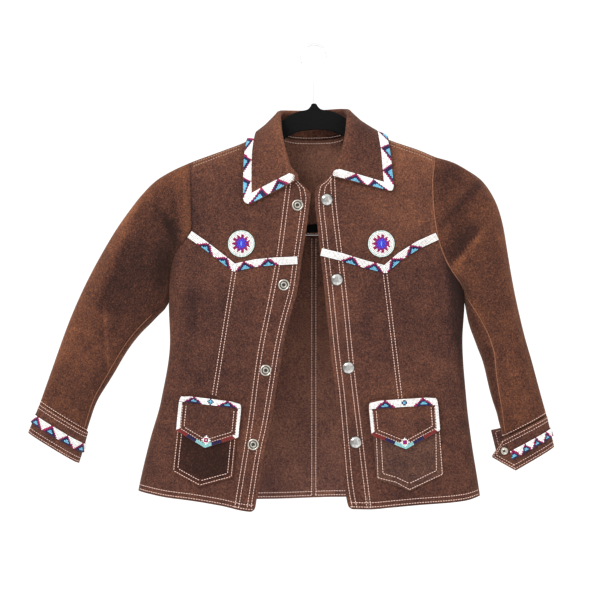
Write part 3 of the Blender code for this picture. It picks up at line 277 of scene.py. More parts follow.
# Collar: neck seam, fold and outer edge at each station round the neck
COLLAR = table("seam_x seam_z fold_x fold_y fold_z edge_x edge_z face bend", [
    (-16.8, -171.4, -18.0, -40.4, -166.9, -88.0, -204.5, -1, 2.1),
    (-28.0, -158.5, -29.5, -37.4, -154.8, -88.3, -186.0, -1, 2.3),
    (-33.5, -149.0, -34.7, -35.0, -140.5, -88.4, -168.0, -1, 2.6),
    (-39.5, -134.0, -39.3, -31.0, -121.0, -88.0, -150.0, -1, 2.9),
    (-45.0, -117.0, -42.3, -23.5, -102.0, -86.0, -133.0, -1, 3.2),
    (-50.0, -97.0, -43.0, -6.0, -84.5, -80.5, -117.5, 0, 3.5),
    (-46.0, -106.0, -39.0, 11.0, -80.0, -70.0, -128.0, 1, 3.6),
    (-34.0, -114.0, -28.5, 20.5, -79.2, -48.0, -132.5, 1, 3.6),
    (-17.0, -116.3, -14.5, 25.0, -78.9, -24.0, -134.5, 1, 3.6),
    (0.0, -116.5, 0.0, 26.0, -78.6, 0.0, -135.0, 1, 3.6),
    (17.0, -116.0, 14.5, 25.0, -77.9, 25.0, -134.5, 1, 3.6),
    (34.0, -113.0, 28.5, 20.5, -77.3, 50.0, -132.0, 1, 3.6),
    (46.0, -104.0, 39.5, 11.0, -78.2, 80.0, -127.0, 1, 3.6),
    (50.0, -95.0, 42.3, -6.0, -82.6, 91.3, -121.5, 0, 3.5),
    (45.0, -115.0, 41.3, -23.5, -100.3, 93.8, -131.0, -1, 3.2),
    (39.5, -131.0, 38.4, -31.0, -120.0, 96.2, -146.0, -1, 2.9),
    (33.0, -144.0, 34.0, -35.0, -138.5, 97.6, -160.0, -1, 2.6),
    (27.0, -153.3, 28.8, -37.2, -150.3, 98.8, -172.0, -1, 2.3),
    (14.8, -166.0, 16.0, -39.5, -161.6, 99.3, -184.8, -1, 2.1),
])
COLLAR_WALL = 1.6
COLLAR_EDGE_LIFT = 3.9   # the collar's outer face over the body, at its edge

# Top edge of the hanger's arms, before it is tilted
HANGER_TOP = table("x z", [
    (0, -72.5), (2.6, -72.8), (4.5, -76), (9, -80), (17, -81.5), (30, -86), (42.5, -95),
    (51, -102.8), (60, -108.8), (85, -123.8), (112, -134.8), (147, -148.5), (175, -160),
    (195, -171), (208, -183), (215, -196), (217.5, -210), (216, -222), (209, -230), (196, -233.5),
])
HANGER_HOLE = table("x z", [
    (0, -105), (17, -106.5), (30, -111), (42.5, -118.5), (60, -129.5), (85, -144),
    (112, -155.5), (147, -169.5), (175, -181.5), (192, -191.5), (202, -202),
    (205.5, -212), (203, -220), (194, -223.2),
])
HANGER_BAR = (-223.2, -233.5)

# A flap's corners from its top right one round by the point to its top left one
BY_POINT = [1, 2, 3, 4, 0]


def smooth(xs, ys, x):
    """A smooth curve through the points that doesn't overshoot them."""
    order = np.argsort(xs)
    xs, ys = xs[order], ys[order]
    step = np.diff(xs)
    slope = np.diff(ys) / step
    ends = np.zeros_like(ys)
    product = slope[:-1] * slope[1:]
    total = slope[:-1] + slope[1:]
    turning = product <= 0
    ends[1:-1] = np.where(turning, 0, 2 * product / np.where(turning, 1, total))
    ends[0], ends[-1] = slope[0], slope[-1]
    x = np.clip(x, xs[0], xs[-1])
    i = np.clip(np.searchsorted(xs, x) - 1, 0, len(step) - 1)
    t = (x - xs[i]) / step[i]
    return (ys[i] * (1 + 2 * t) * (1 - t) ** 2 + ends[i] * step[i] * t * (1 - t) ** 2
            + ys[i + 1] * t * t * (3 - 2 * t) + ends[i + 1] * step[i] * t * t * (t - 1))


def ridge(x, z, x0, z0, x1, z1, wide):
    """1 on the line from one point to the other, fading to 0 on both sides and at the ends."""
    run = np.array([x1 - x0, z1 - z0])
    long = np.hypot(*run)
    along = ((x - x0) * run[0] + (z - z0) * run[1]) / long
    aside = ((x - x0) * run[1] - (z - z0) * run[0]) / long
    past = np.maximum(np.maximum(-along, along - long), 0)
    return np.exp(-(aside / wide) ** 2 - (past / (1.6 * wide)) ** 2)


def unit(v):
    return v / np.linalg.norm(v, axis=-1, keepdims=True)


def lengths(points):
    """How far along a path each of its points is."""
    return np.concatenate([[0], np.cumsum(np.linalg.norm(np.diff(points, axis=0), axis=1))])


def along_path(at, mile, points):
    """Points at the lengths at of a path whose own points are at the lengths mile."""
    return np.stack([np.interp(at, mile, column) for column in points.T], -1)


def shoulder_line(x):
    return smooth(SHOULDER["x"], SHOULDER["z"], x)


def back_neck(x):
    return smooth(COLLAR["seam_x"][5:14], COLLAR["seam_z"][5:14], x)


def half_width(x, z):
    return np.where(x < 0, smooth(BODY["z"], BODY["left"], z), smooth(BODY["z"], BODY["right"], z))


def depth(x, z, face):
    """How far the body's outer face stands from the hanger's plane."""
    x, z = np.asarray(x, float), np.asarray(z, float)
    deep = smooth(BODY["z"], BODY["front" if face < 0 else "back"], z)
    across = np.clip(1 - (np.abs(x) / half_width(x, z)) ** ROUND, 0, 1) ** (1 / ROUND)
    fall = np.clip((shoulder_line(x) - z) / CAP_FALL, 0, 1)
    for fold in rows_of(FOLDS, face):
        deep = deep + fold["deep"] * ridge(
            x, z, fold["x0"], fold["z0"], fold["x1"], fold["z1"], fold["width"])
    return (deep + uneven(x, z, face)) * across * np.sqrt(1 - (1 - fall) ** 2)


def on_body(xz, face, lift=0.0):
    """Points of the body's outer face over the points xz, moved out by lift."""
    x, z = xz[..., 0], xz[..., 1]
    point = np.stack([x, face * depth(x, z, face), z], -1)
    if not lift:
        return point
    step = 0.5
    normal = np.stack([
        depth(x - step, z, face) - depth(x + step, z, face),
        np.full(x.shape, face * 2 * step),
        depth(x, z - step, face) - depth(x, z + step, face)], -1)
    return point + lift * normal / np.linalg.norm(normal, axis=-1, keepdims=True)


def line(fro, to, count, ease=None):
    """Numbers from fro to to in count steps, drawn together towards an eased end."""
    t = np.linspace(0, 1, count * FINE + 1)
    if ease == "end":
        t = np.sin(t * math.pi / 2)
    if ease == "start":
        t = 1 - np.cos(t * math.pi / 2)
    return fro + (to - fro) * t


def pairs(x, z):
    return np.stack(np.broadcast_arrays(x, z), -1).astype(float)


def joined(*stretches):
    """Stretches of a boundary end to end, each starting where the last one ended."""
    return np.concatenate([stretches[0]] + [s[1:] for s in stretches[1:]])


def patch(first, last, start, end):
    """Points between four boundaries: rows run from first to last, columns from start to end."""
    def share(a, b):
        steps = np.linalg.norm(np.diff((a + b) / 2, axis=0), axis=1)
        return np.concatenate([[0], np.cumsum(steps) / steps.sum()])
    u = share(first, last)[None, :, None]
    v = share(start, end)[:, None, None]
    edges = (1 - v) * first[None] + v * last[None] + (1 - u) * start[:, None] + u * end[:, None]
    corners = ((1 - u) * (1 - v) * first[0] + u * (1 - v) * first[-1]
               + (1 - u) * v * last[0] + u * v * last[-1])
    return edges - corners


def seam_x(side, column, z):
    part = SIDES[side][column]
    return smooth(part["z"], part["x"], z)


def neckline(side, x):
    part = SIDES[side]["neckline"]
    return smooth(part["x"], part["z"], x)


def yoke_z(x):
    return np.interp(x, YOKE["x"], YOKE["z"])


def yoke_columns(side):
    """Where the columns of the pieces above and below the front yoke seam meet it."""
    sign = SIDES[side]["sign"]
    low = meeting(side, "band_seam", yoke_z, -270.0)
    arm = float(yoke_z(seam_x(side, "armhole", -237.0)))
    point = SIDES[side]["yoke_point"]
    band = float(seam_x(side, "band_seam", low)) + sign * SEAM / 2
    return joined(line(band, point, 3), line(point, armhole_xz(side, arm, ARM_SEAM)[0], 6, "end"))


def hem_z(face, x):
    return smooth(HEM[face]["x"], HEM[face]["z"], x)


def armhole_xz(side, z, clear):
    """Points of the armhole, moved towards the body by clear."""
    return pairs(seam_x(side, "armhole", z) - SIDES[side]["sign"] * clear, z)


def meeting(side, column, curve, guess):
    """The height at which a seam crosses a curve given as a height for each x."""
    z = guess
    for _ in range(30):
        z = float(curve(seam_x(side, column, z)))
    return z


def front_yoke(side):
    sign = SIDES[side]["sign"]
    gap = SEAM / 2
    low = meeting(side, "band_seam", yoke_z, -270.0)
    neck_x = SIDES[side]["neck"][0]
    shoulder_x, shoulder_z = SIDES[side]["shoulder"]
    band_top = SIDES[side]["band_seam"]["z"][0]
    across = yoke_columns(side)
    bottom = pairs(across, yoke_z(across) + gap)
    shoulder_across = line(neck_x, shoulder_x - sign * ARM_SEAM, 9)
    top = pairs(shoulder_across, shoulder_line(shoulder_across))
    seam = line(low + gap, band_top, 4)
    neck_across = line(float(seam_x(side, "band_seam", band_top)) + sign * gap, neck_x, 5)
    inner = joined(pairs(seam_x(side, "band_seam", seam) + sign * gap, seam),
                   pairs(neck_across, neckline(side, neck_across)))
    inner[-1] = top[0]
    up = joined(line(float(bottom[-1, 1]), -190.0, 4), line(-190.0, shoulder_z, 5, "end"))
    outer = armhole_xz(side, up, ARM_SEAM)
    outer[0], outer[-1] = bottom[-1], top[-1]
    grid = on_body(patch(bottom, top, inner, outer), -1)
    grid[-1, :, 1] = -SIDE_SEAM
    return grid


def front_panel(side):
    sign = SIDES[side]["sign"]
    gap = SEAM / 2
    low = meeting(side, "band_seam", yoke_z, -270.0)
    underarm = float(SIDES[side]["armhole"]["z"].min())
    across = yoke_columns(side)
    top = pairs(across, yoke_z(across) - gap)
    hem_band = meeting(side, "band_seam", lambda x: hem_z(-1, x), -572.0)
    side_hem = hem_z(-1, sign * 999)
    hem_across = joined(
        line(float(seam_x(side, "band_seam", hem_band)) + sign * gap, SIDES[side]["dart_hem"], 3),
        line(SIDES[side]["dart_hem"], sign * float(half_width(sign * 1.0, side_hem)), 6, "end"))
    bottom = pairs(hem_across, hem_z(-1, hem_across))
    down = line(low - gap, float(hem_z(-1, hem_across[0])), 15)
    inner = pairs(seam_x(side, "band_seam", down) + sign * gap, down)
    arm_down = line(float(top[-1, 1]), underarm, 5)
    side_down = line(underarm, float(bottom[-1, 1]), 10)
    outer = joined(armhole_xz(side, arm_down, ARM_SEAM),
                   pairs(sign * half_width(sign * 1.0, side_down), side_down))
    outer[0] = top[-1]
    grid = on_body(patch(top, bottom, inner, outer), -1)
    grid[5 * FINE:, -1, 1] = -SIDE_SEAM
    return grid


def front_band(side):
    sign = SIDES[side]["sign"]
    gap = SEAM / 2
    band_top = float(SIDES[side]["band_seam"]["z"][0])
    edge_top = float(SIDES[side]["front_edge"]["z"][0])
    across = line(float(seam_x(side, "band_seam", band_top)) - sign * gap,
                  float(seam_x(side, "front_edge", edge_top)), 3)
    top = pairs(across, neckline(side, across))
    seam_low = meeting(side, "band_seam", lambda x: hem_z(-1, x), -572.0)
    edge_low = meeting(side, "front_edge", lambda x: hem_z(-1, x), -572.0)
    hem_across = line(float(seam_x(side, "band_seam", seam_low)) - sign * gap,
                      float(seam_x(side, "front_edge", edge_low)), 3)
    bottom = pairs(hem_across, hem_z(-1, hem_across))
    down = line(float(top[0, 1]), float(bottom[0, 1]), 22)
    edge_down = line(float(top[-1, 1]), float(bottom[-1, 1]), 22)
    inner = pairs(seam_x(side, "band_seam", down) - sign * gap, down)
    outer = pairs(seam_x(side, "front_edge", edge_down), edge_down)
    return on_body(patch(top, bottom, inner, outer), -1)


def back_yoke():
    gap = SEAM / 2
    low = BACK_YOKE_Z + gap
    arms = [armhole_xz(side, low, ARM_SEAM) for side in SIDES]
    across = joined(line(arms[0][0], 0.0, 8), line(0.0, arms[1][0], 8))
    bottom = pairs(across, low)
    stretches = []
    for side, turn in (("left", 1), ("right", -1)):
        shoulder_x = SIDES[side]["shoulder"][0] - SIDES[side]["sign"] * ARM_SEAM
        neck_x = SIDES[side]["neck"][0]
        over = line(shoulder_x, neck_x, 5)[::turn]
        neck = line(neck_x, 0.0, 3, "start")[::turn]
        seam = pairs(over, shoulder_line(over))
        curve = pairs(neck, back_neck(neck))
        stretches += [seam, curve] if turn > 0 else [curve, seam]
    top = joined(*stretches)
    up = {side: joined(line(low, -190.0, 3), line(-190.0, SIDES[side]["shoulder"][1], 5, "end"))
          for side in SIDES}
    grid = on_body(patch(bottom, top, armhole_xz("left", up["left"], ARM_SEAM),
                         armhole_xz("right", up["right"], ARM_SEAM)), 1)
    neck = min(abs(part["neck"][0]) for part in SIDES.values())
    on_shoulder = np.abs(grid[-1, :, 0]) >= neck - 0.01
    grid[-1, on_shoulder, 1] = SIDE_SEAM
    return grid


def back_panel(side):
    sign = SIDES[side]["sign"]
    gap = SEAM / 2
    underarm = float(SIDES[side]["armhole"]["z"].min())
    low = BACK_YOKE_Z - gap
    centre = sign * gap
    across = line(centre, armhole_xz(side, low, ARM_SEAM)[0], 9, "end")
    top = pairs(across, low)
    side_hem = hem_z(1, sign * 999)
    hem_across = line(centre, sign * float(half_width(sign * 1.0, side_hem)), 9, "end")
    bottom = pairs(hem_across, hem_z(1, hem_across))
    inner = pairs(centre, line(low, float(bottom[0, 1]), 13))
    outer = joined(armhole_xz(side, line(low, underarm, 4), ARM_SEAM),
                   pairs(0.0, line(underarm, float(bottom[-1, 1]), 9)))
    outer[4 * FINE:, 0] = sign * half_width(sign * 1.0, outer[4 * FINE:, 1])
    grid = on_body(patch(top, bottom, inner, outer), 1)
    grid[4 * FINE:, -1, 1] = SIDE_SEAM
    return grid


def ring_shape(angle, squareness=2.3):
    """Along and aside shares of a rounded section, by the angle from its outer point."""
    c, s = np.cos(angle), np.sin(angle)
    reach = (np.abs(c) ** squareness + np.abs(s) ** squareness) ** (-1 / squareness)
    return c * reach, s * reach


def sleeve_bump(side, ring, angle):
    total = 0.0
    for f in rows_of(SLEEVE_FOLDS[side]):
        total = total + f["deep"] * ridge(
            ring * RING_LONG, np.degrees(angle) * DEGREE_LONG, f["ring0"] * RING_LONG,
            f["angle0"] * DEGREE_LONG, f["ring1"] * RING_LONG, f["angle1"] * DEGREE_LONG, f["wide"])
    return total


def sleeve_point(side, ring, angle):
    """Points of the sleeve's outer face, for a ring number and an angle round it."""
    ring, angle = np.broadcast_arrays(np.asarray(ring, float), np.asarray(angle, float))
    rows = SLEEVES[side]
    number = np.arange(len(rows["ox"]), dtype=float)
    ox, oz, ix, iz, deep = (smooth(number, rows[n], ring) for n in "ox oz ix iz deep".split())
    along, aside = ring_shape(angle)
    t = (1 - along) / 2
    x, z = ox + t * (ix - ox), oz + t * (iz - oz)
    hold = np.clip(1 - ring / ARMHOLE_RINGS, 0, 1) ** 2
    top, underarm = rows["oz"][0], rows["iz"][0]
    arm_z = top + t * (underarm - top)
    arm_x = seam_x(side, "armhole", arm_z)
    start_x = rows["ox"][0] + t * (rows["ix"][0] - rows["ox"][0])
    grow = np.clip(ring / FOLD_RINGS, 0, 1)
    bump = sleeve_bump(side, ring, angle) * grow * grow * (3 - 2 * grow)
    bump = bump * np.sqrt(np.abs(np.sin(angle)))
    y = np.where(aside >= 0, -1, 1) * (
        (1 - hold) * deep * np.abs(aside) + bump
        + hold * np.where(aside >= 0, depth(arm_x, arm_z, -1), depth(arm_x, arm_z, 1)))
    gap = SIDES[side]["sign"] * ARM_SEAM * hold
    return np.stack([x + hold * (arm_x - start_x) + gap, y, z], -1)


def left_cuff_point(share, angle, lift=0.0):
    """Points of the left cuff's outer face: share runs from its top edge to its end."""
    share, angle = np.broadcast_arrays(np.asarray(share, float), np.asarray(angle, float))
    number = np.linspace(0, 1, 3)
    ox, oz, ix, iz, deep = (smooth(number, LEFT_CUFF[n], share) for n in "ox oz ix iz deep".split())
    along, aside = ring_shape(angle)
    centre = np.stack([(ox + ix) / 2, (oz + iz) / 2], -1)
    half = np.stack([(ox - ix) / 2, (oz - iz) / 2], -1)
    long = np.linalg.norm(half, axis=-1)
    grow = 1 + lift / long
    xz = centre + half * (grow * along)[..., None]
    return np.stack([xz[..., 0], -(deep + lift) * aside, xz[..., 1]], -1)


def left_cuff_rise(angle):
    """How far the tab stands off where it laps over the cuff's other end."""
    start, long = (math.radians(a) for a in LEFT_CUFF_RISE)
    lapped = np.clip((angle - start) / long, 0, 1)
    return lapped * lapped * (3 - 2 * lapped) * (DOUBLED + LAID + 0.5)


def left_cuff(share, t):
    """A band that laps over itself on the sleeve's hidden side and ends in a pointed tab."""
    start, corner = (math.radians(a) for a in LEFT_CUFF_ENDS)
    end = corner + math.radians(LEFT_CUFF_TIP) * (1 - np.abs(2 * share - 1))
    angle = start + (end - start) * t
    return left_cuff_point(share, angle, left_cuff_rise(angle))


def right_cuff_path():
    """The line that the right cuff follows, seen from its edge, and how far along each point is."""
    path = np.stack([RIGHT_CUFF_PATH["along"], RIGHT_CUFF_PATH["y"]], -1)
    return path, lengths(path)


def right_cuff_point(share, along, lift=0.0):
    """Points of the right cuff's outer face, at shares of its height and of its length."""
    share, along = np.broadcast_arrays(np.asarray(share, float), np.asarray(along, float))
    path, mile = right_cuff_path()

    def at(s):
        return np.stack([smooth(mile, column, s) for column in path.T], -1)

    s, step = along * mile[-1], 0.5
    run = unit(at(s + step) - at(s - step))
    back, y = np.moveaxis(at(s) + lift * run[..., ::-1] * (-1, 1), -1, 0)
    top, bottom = np.array(RIGHT_CUFF_TOP), np.array(RIGHT_CUFF_BOTTOM)
    share = share[..., None]
    start = top + share * (bottom - top)
    way = (np.array(RIGHT_CUFF_LINE["top"]) * (1 - share)
           + np.array(RIGHT_CUFF_LINE["bottom"]) * share)
    hidden = (np.clip(back - UNDERLAP_FROM, 0, None) * (y > 0))[..., None]
    c, s = math.cos(math.radians(UNDERLAP_TURN)), math.sin(math.radians(UNDERLAP_TURN))
    turned_way = way @ np.array([[c, -s], [s, c]])
    xz = start + (back[..., None] - hidden) * way + hidden * turned_way
    return np.stack([xz[..., 0], y, xz[..., 1]], -1)


def cuff_notch(share):
    """How far the right cuff's tab is cut back, as a share of the cuff's length."""
    notch = np.interp(share, RIGHT_CUFF_ROWS["share"], RIGHT_CUFF_ROWS["notch"])
    return notch / right_cuff_path()[1][-1]


def clear_of_body(point, lift):
    """Points pushed out so that they are at least lift from the body's outer face."""
    x, y, z = point[..., 0], point[..., 1], point[..., 2]
    top = shoulder_line(x)
    centre = top - CAP_FALL
    face = np.where(y < 0, -1, 1)
    front = depth(x, np.minimum(z, centre), -1)
    back = depth(x, np.minimum(z, centre), 1)
    deep = np.where(face < 0, front, back) + lift
    high = np.maximum(z - centre, 0)
    reach = np.hypot(y / deep, high / (CAP_FALL + lift))
    grow = np.maximum(1 / np.maximum(reach, 1e-6), 1)
    return np.stack([x, y * grow, np.where(z > centre, centre + high * grow, z)], -1)


def signed_depth(x, z, face):
    """The body's outer face over x and z, on the side that face gives for each point."""
    return np.where(face < 0, -depth(x, z, -1), depth(x, z, 1))


def collar_frame(station):
    """The neck seam, the fold, the outer edge and the bend's radius at a station."""
    number = np.arange(len(COLLAR["face"]), dtype=float)
    c = {name: smooth(number, column, station) for name, column in COLLAR.items()}
    face = np.where(c["face"] < 0, -1, 1)
    seam_y = signed_depth(c["seam_x"], c["seam_z"], face)
    edge_y = signed_depth(c["edge_x"], c["edge_z"], face) * np.abs(c["face"]) ** 0.5
    seam = np.stack([c["seam_x"], seam_y, c["seam_z"]], -1)
    fold = np.stack([c["fold_x"], c["fold_y"], c["fold_z"]], -1)
    edge = np.stack([c["edge_x"], edge_y, c["edge_z"]], -1)
    return seam, fold, edge, c["bend"]


def collar_section(station):
    """What the stand, the bend and the fall at a station are worked out from."""
    seam, fold, edge, bend = collar_frame(station)
    up = unit(fold - seam)
    neck_centre = np.array([0.0, -4.0, 0.0])
    away = (fold - neck_centre) * np.array([1, 1, 0])
    away = unit(away - (away * up).sum(-1, keepdims=True) * up)
    bend = bend[..., None]
    centre = fold - bend * up
    return seam + 1.2 * up, centre, bend, up, away, edge


def collar_stand(station, share):
    """Points of the stand's inner face, from the neck seam at share 0 to the bend at 1."""
    seam, centre, bend, _, away, _ = collar_section(station)
    top = centre - bend * away
    return seam + (top - seam) * share[..., None]


def collar_bend(station, turn):
    """Points of the bend, turned from the stand at 0 to the fall at pi."""
    _, centre, bend, up, away, _ = collar_section(station)
    turn = turn[..., None]
    return centre + bend * (-away * np.cos(turn) + up * np.sin(turn))


def collar_fall(station, share, lift=0.0):
    """Points of the fall's outer face, from the bend at share 0 to the collar's edge at 1."""
    _, centre, bend, _, away, edge = collar_section(station)
    share = share[..., None]
    top = centre + bend * away
    flat = top + (edge - top) * share
    sag = COLLAR_EDGE_LIFT + 3.0 * (1 - share[..., 0])
    return clear_of_body(flat, sag + lift)


def collar_stations(first):
    """Stations from one end of the collar to the middle of its back."""
    return joined(line(first, 2.0, 3), line(2.0, (len(COLLAR["face"]) - 1) / 2, 13))


def collar_band():
    """Grid of the beaded band that follows the collar's three free edges."""
    margin = 0.9
    inner_turn = COLLAR_BEADS + margin

    def apart(one, other):
        return np.linalg.norm(collar_fall(*one) - collar_fall(*other), axis=-1)

    def fall_long(station):
        return apart((station, np.zeros_like(station)), (station, np.ones_like(station)))

    def first_step(share):
        return apart((np.zeros(share.shape), share), (np.ones(share.shape), share))

    long = float(fall_long(np.array([0.0]))[0])
    along = line(0.0, 1 - margin / long, 6)
    near = along * (1 - inner_turn / long)
    half = []
    for turn, share in ((margin, along), (inner_turn, near)):
        start = np.stack([turn / first_step(share), share], -1)
        stations = collar_stations(float(start[-1, 0]))
        rest = np.stack([stations, 1 - turn / fall_long(stations)], -1)[1:]
        half.append(np.concatenate([start, rest]))
    mirror = np.array([len(COLLAR["face"]) - 1.0, 0.0])
    turned = np.array([-1.0, 1.0])
    outer, inner = (joined(h, mirror + turned * h[::-1]) for h in half)
    share = np.array([0.0, 0.5, 1.0])[:, None, None]
    where = outer[None] + share * (inner - outer)[None]
    return collar_fall(where[..., 0], where[..., 1], 2 * LAID)


def ribbon(xz, wide, face, lift):
    """Grid of a band of even width along a path on the body."""
    run = np.gradient(xz, axis=0)
    run /= np.linalg.norm(run, axis=1, keepdims=True)
    aside = np.stack([-run[:, 1], run[:, 0]], -1)
    turn = np.sum(run[1:-1] * unit(np.diff(xz, axis=0)[1:]), axis=1)
    aside[1:-1] /= np.maximum(turn, 0.7)[:, None]
    share = np.array([-0.5, 0.0, 0.5])[:, None, None] * wide
    return on_body(xz[None] + share * aside[None], face, lift)


def yoke_band(side):
    sign = SIDES[side]["sign"]
    point = SIDES[side]["yoke_point"]
    front = {"left": -20.8, "right": 8.6}[side]
    arm = float(seam_x(side, "armhole", -237.0)) - sign * 1.5
    x = joined(line(front, point, 6), line(point, arm, 5))
    return ribbon(pairs(x, yoke_z(x)), BEAD_WIDE, -1, LAID + 0.1)


def pocket_grid(corners, lift, rows=5, columns=3):
    """Grid of a pocket or flap with a pointed lower edge, on the front panel."""
    tl, tr, br, tip, bl = (np.array(c, float) for c in corners)
    t = np.linspace(0, 1, columns + 1)[:, None]
    middle = (tl + tr) / 2
    top = joined(tl + t * (middle - tl), middle + t * (tr - middle))
    bottom = joined(bl + t * (tip - bl), tip + t * (br - tip))
    t = np.linspace(0, 1, rows + 1)[:, None]
    return on_body(patch(top, bottom, tl + t * (bl - tl), tr + t * (br - tr)), -1, lift)


def flap_outline(side, inset, top_inset, key="flap"):
    """A flap's or pocket's outline moved in by inset, from its top left corner by the point."""
    corners = np.array(SIDES[side][key], float)
    tl, tr, br, _, bl = corners
    middle = (tl + tr + br + bl) / 4
    edges = np.roll(corners, -1, 0) - corners
    normals = unit(np.stack([-edges[:, 1], edges[:, 0]], -1))
    normals *= np.sign(((middle - corners) * normals).sum(1))[:, None]
    amounts = np.array([top_inset, inset, inset, inset, inset])
    moved = []
    for i in range(5):
        n = np.array([normals[i - 1], normals[i]])
        offset = np.array([amounts[i - 1], amounts[i]])
        moved.append(corners[i] + np.linalg.solve(n, offset))
    return np.array(moved)


def flap_band(side, lift):
    """The straight beaded band along the top of a flap."""
    outer = flap_outline(side, 0.6, 0.6)[:2]
    inner = flap_outline(side, 0.6, 0.6 + FLAP_BEADS[side])[:2]
    t = np.linspace(0, 1, 7)[None, :, None]
    s = np.linspace(0, 1, 3)[:, None, None]
    top = outer[0] + t * (outer[1] - outer[0])
    low = inner[0] + t * (inner[1] - inner[0])
    return on_body(top + s * (low - top), -1, lift)


def flap_roll(side, lift):
    """The narrow beaded edging down a flap's sides and round its point."""
    start = FLAP_BEADS[side] + 1.0
    outer = flap_outline(side, 0.5, start)
    inner = flap_outline(side, 0.5 + ROLL_WIDE, start)
    steps = [3, 4, 4, 3]
    lines = []
    for ring in (outer[BY_POINT], inner[BY_POINT]):
        lines.append(joined(*[ring[i] + np.linspace(0, 1, n + 1)[:, None] * (ring[i + 1] - ring[i])
                              for i, n in enumerate(steps)]))
    s = np.linspace(0, 1, 2)[:, None, None]
    return on_body(lines[0][None] + s * (lines[1] - lines[0])[None], -1, lift)


def surface_frame(x, z, face, lift):
    """A point on the body and the way that its outer face looks."""
    xz = np.array([x, z], float)
    point = on_body(xz, face, lift)
    return point, unit(on_body(xz, face, 1.0) - on_body(xz, face, 0.0))


# What the fine surface adds

RANDOM = np.random.default_rng(7).random((4, 64, 64))

# Places painted lighter (+) or darker (-): painted shade and highlights of the folds on the
# sleeves' fronts, painted shade beside the right sleeve, painted shade low on the back and painted
# light high on it for the inside seen through the open front, and other lighter and darker places;
# face 0 is the sleeves' fronts
SHADE_AND_TONE_PATCHES = table("face x z wide high turn much", [
    (-1, -105, -148, 60, 26, 0, 0.6),
    (-1, 120, -148, 60, 27, 0, 0.9),
    # painted shade low on the back and painted light high on it, seen inside through the open front
    (1, 0, -560, 150, 40, 0, -0.9),
    (1, 0, -150, 50, 30, 0, 0.4),
    (-1, -45, -235, 18, 60, 0, 0.2),
    (-1, -125, -350, 50, 80, 0, -0.75),
    (-1, -168, -320, 9, 60, -4, 0.35),
    (-1, -150, -300, 10, 60, 0, -0.3),
    (-1, -165, -520, 40, 50, 0, 0.15),
    (-1, 90, -350, 60, 60, 0, -0.15),
    # painted shade on the body's side beside the right sleeve
    (-1, 180, -330, 16, 70, 0, -1.3),
    (-1, 150, -500, 50, 60, 0, -0.05),
    (-1, 100, -205, 55, 45, 0, 0.65),
    # painted shade and highlights of the sleeves' folds
    (0, -205, -280, 30, 50, -18, -0.8),
    (0, -186, -278, 14, 34, -10, -1.1),
    (0, -244, -350, 17, 42, -30, -0.35),
    (0, -292, -400, 26, 50, -20, 0.25),
    (0, -176, -180, 12, 40, -14, 0.35),
    (0, -232, -200, 18, 60, -40, 0.6),
    (0, -305, -360, 10, 60, -22, 0.6),
    (0, 225, -190, 14, 60, 20, 0.45),
    (0, 240, -280, 8, 60, 12, 0.3),
    (0, 176, -245, 12, 22, 0, -0.5),
    (0, 212, -320, 20, 40, 8, -0.25),
    (0, 246, -390, 8, 60, 14, 0.3),
])

# Painted shade and highlights along a line, for the folds and creases of the sleeves, along seams
# and beside the sleeves, which fade over a width of their own on its left and right
SHADE_STREAKS = table("face x0 z0 x1 z1 left right much", [
    (0, -215, -206, -262, -322, 45, 6, -0.9),
    (0, -240, -254, -272, -318, 22, 4, -0.7),
    (0, -222, -205, -268, -320, 4, 13, 0.5),
    (0, -176, -184, -166, -240, 2.5, 20, -0.9),
    (0, -259, -332, -255, -400, 2, 3, 0.9),
    (0, -252, -356, -262, -424, 5, 14, -0.35),
    (0, 160, -222, 203, -176, 5, 6, -1.35),
    (0, 152, -160, 172, -150, 14, 18, -0.9),
    (0, 156, -205, 160, -170, 12, 10, -0.6),
    (0, 172, -270, 200, -236, 20, 1.6, -1.55),
    (0, 173, -275, 203, -238, 1.6, 8, 1.3),
    (0, 186, -302, 176, -281, 3, 9, 0.35),
    (0, 198, -316, 218, -372, 3, 8, 0.4),
    (0, 250, -330, 272, -420, 3, 5, 0.45),
    (0, 232, -345, 246, -420, 4, 5, 0.35),
    (0, 222, -250, 232, -330, 10, 14, -0.25),
    (0, -197, -200, -180, -228, 8, 3, -1.0),
    (0, -180, -228, -172, -250, 6, 3, -1.0),
    (0, -161, -160, -156, -222, 2, 5, 0.5),
    (0, 187, -309, 209, -344, 2, 2, 0.8),
    (0, 209, -344, 224, -383, 2, 2, 0.8),
    (0, 224, -383, 236, -464, 2, 2, 0.7),
    (0, 187, -312, 203, -344, 1, 8, -0.6),
    (0, 203, -344, 219, -383, 1, 8, -0.6),
    (0, 219, -383, 232, -464, 1, 8, -0.6),
    (0, 184, -297, 190, -306, 4, 4, -1.2),
    (-1, 150, -155, 146, -236, 2, 2, 0.9),
    (-1, -154, -155, -151, -225, 1.5, 1.5, -1.3),
    (-1, -155, -163, -143, -158, 1.5, 2.5, -0.9),
    (-1, -130, -165, -146, -163, 3, 3, 0.4),
    (-1, 168, -270, 186, -312, 3, 6, -1.5),
    (-1, 187, -312, 187, -352, 3, 6, -1.2),
    (-1, -150, -310, -142, -420, 4, 10, -0.45),
    (-1, -140, -320, -146, -410, 3, 5, 0.3),
    (-1, -116, -300, -112, -420, 6, 6, -0.25),
    (-1, 162, -250, 184, -420, 40, 3, -0.5),
    (-1, 60, -300, 70, -500, 8, 8, -0.2),
])


def noise(x, z, size, layer):
    """Smooth random numbers from -1 to 1 that change over about size millimetres."""
    u, v = x / size, z / size
    i, j = np.floor(u).astype(int), np.floor(v).astype(int)
    s, t = u - i, v - j
    s, t = s * s * (3 - 2 * s), t * t * (3 - 2 * t)
    grid = RANDOM[layer]
    low = grid[i % 64, j % 64] * (1 - s) + grid[(i + 1) % 64, j % 64] * s
    high = grid[i % 64, (j + 1) % 64] * (1 - s) + grid[(i + 1) % 64, (j + 1) % 64] * s
    return 2 * (low * (1 - t) + high * t) - 1


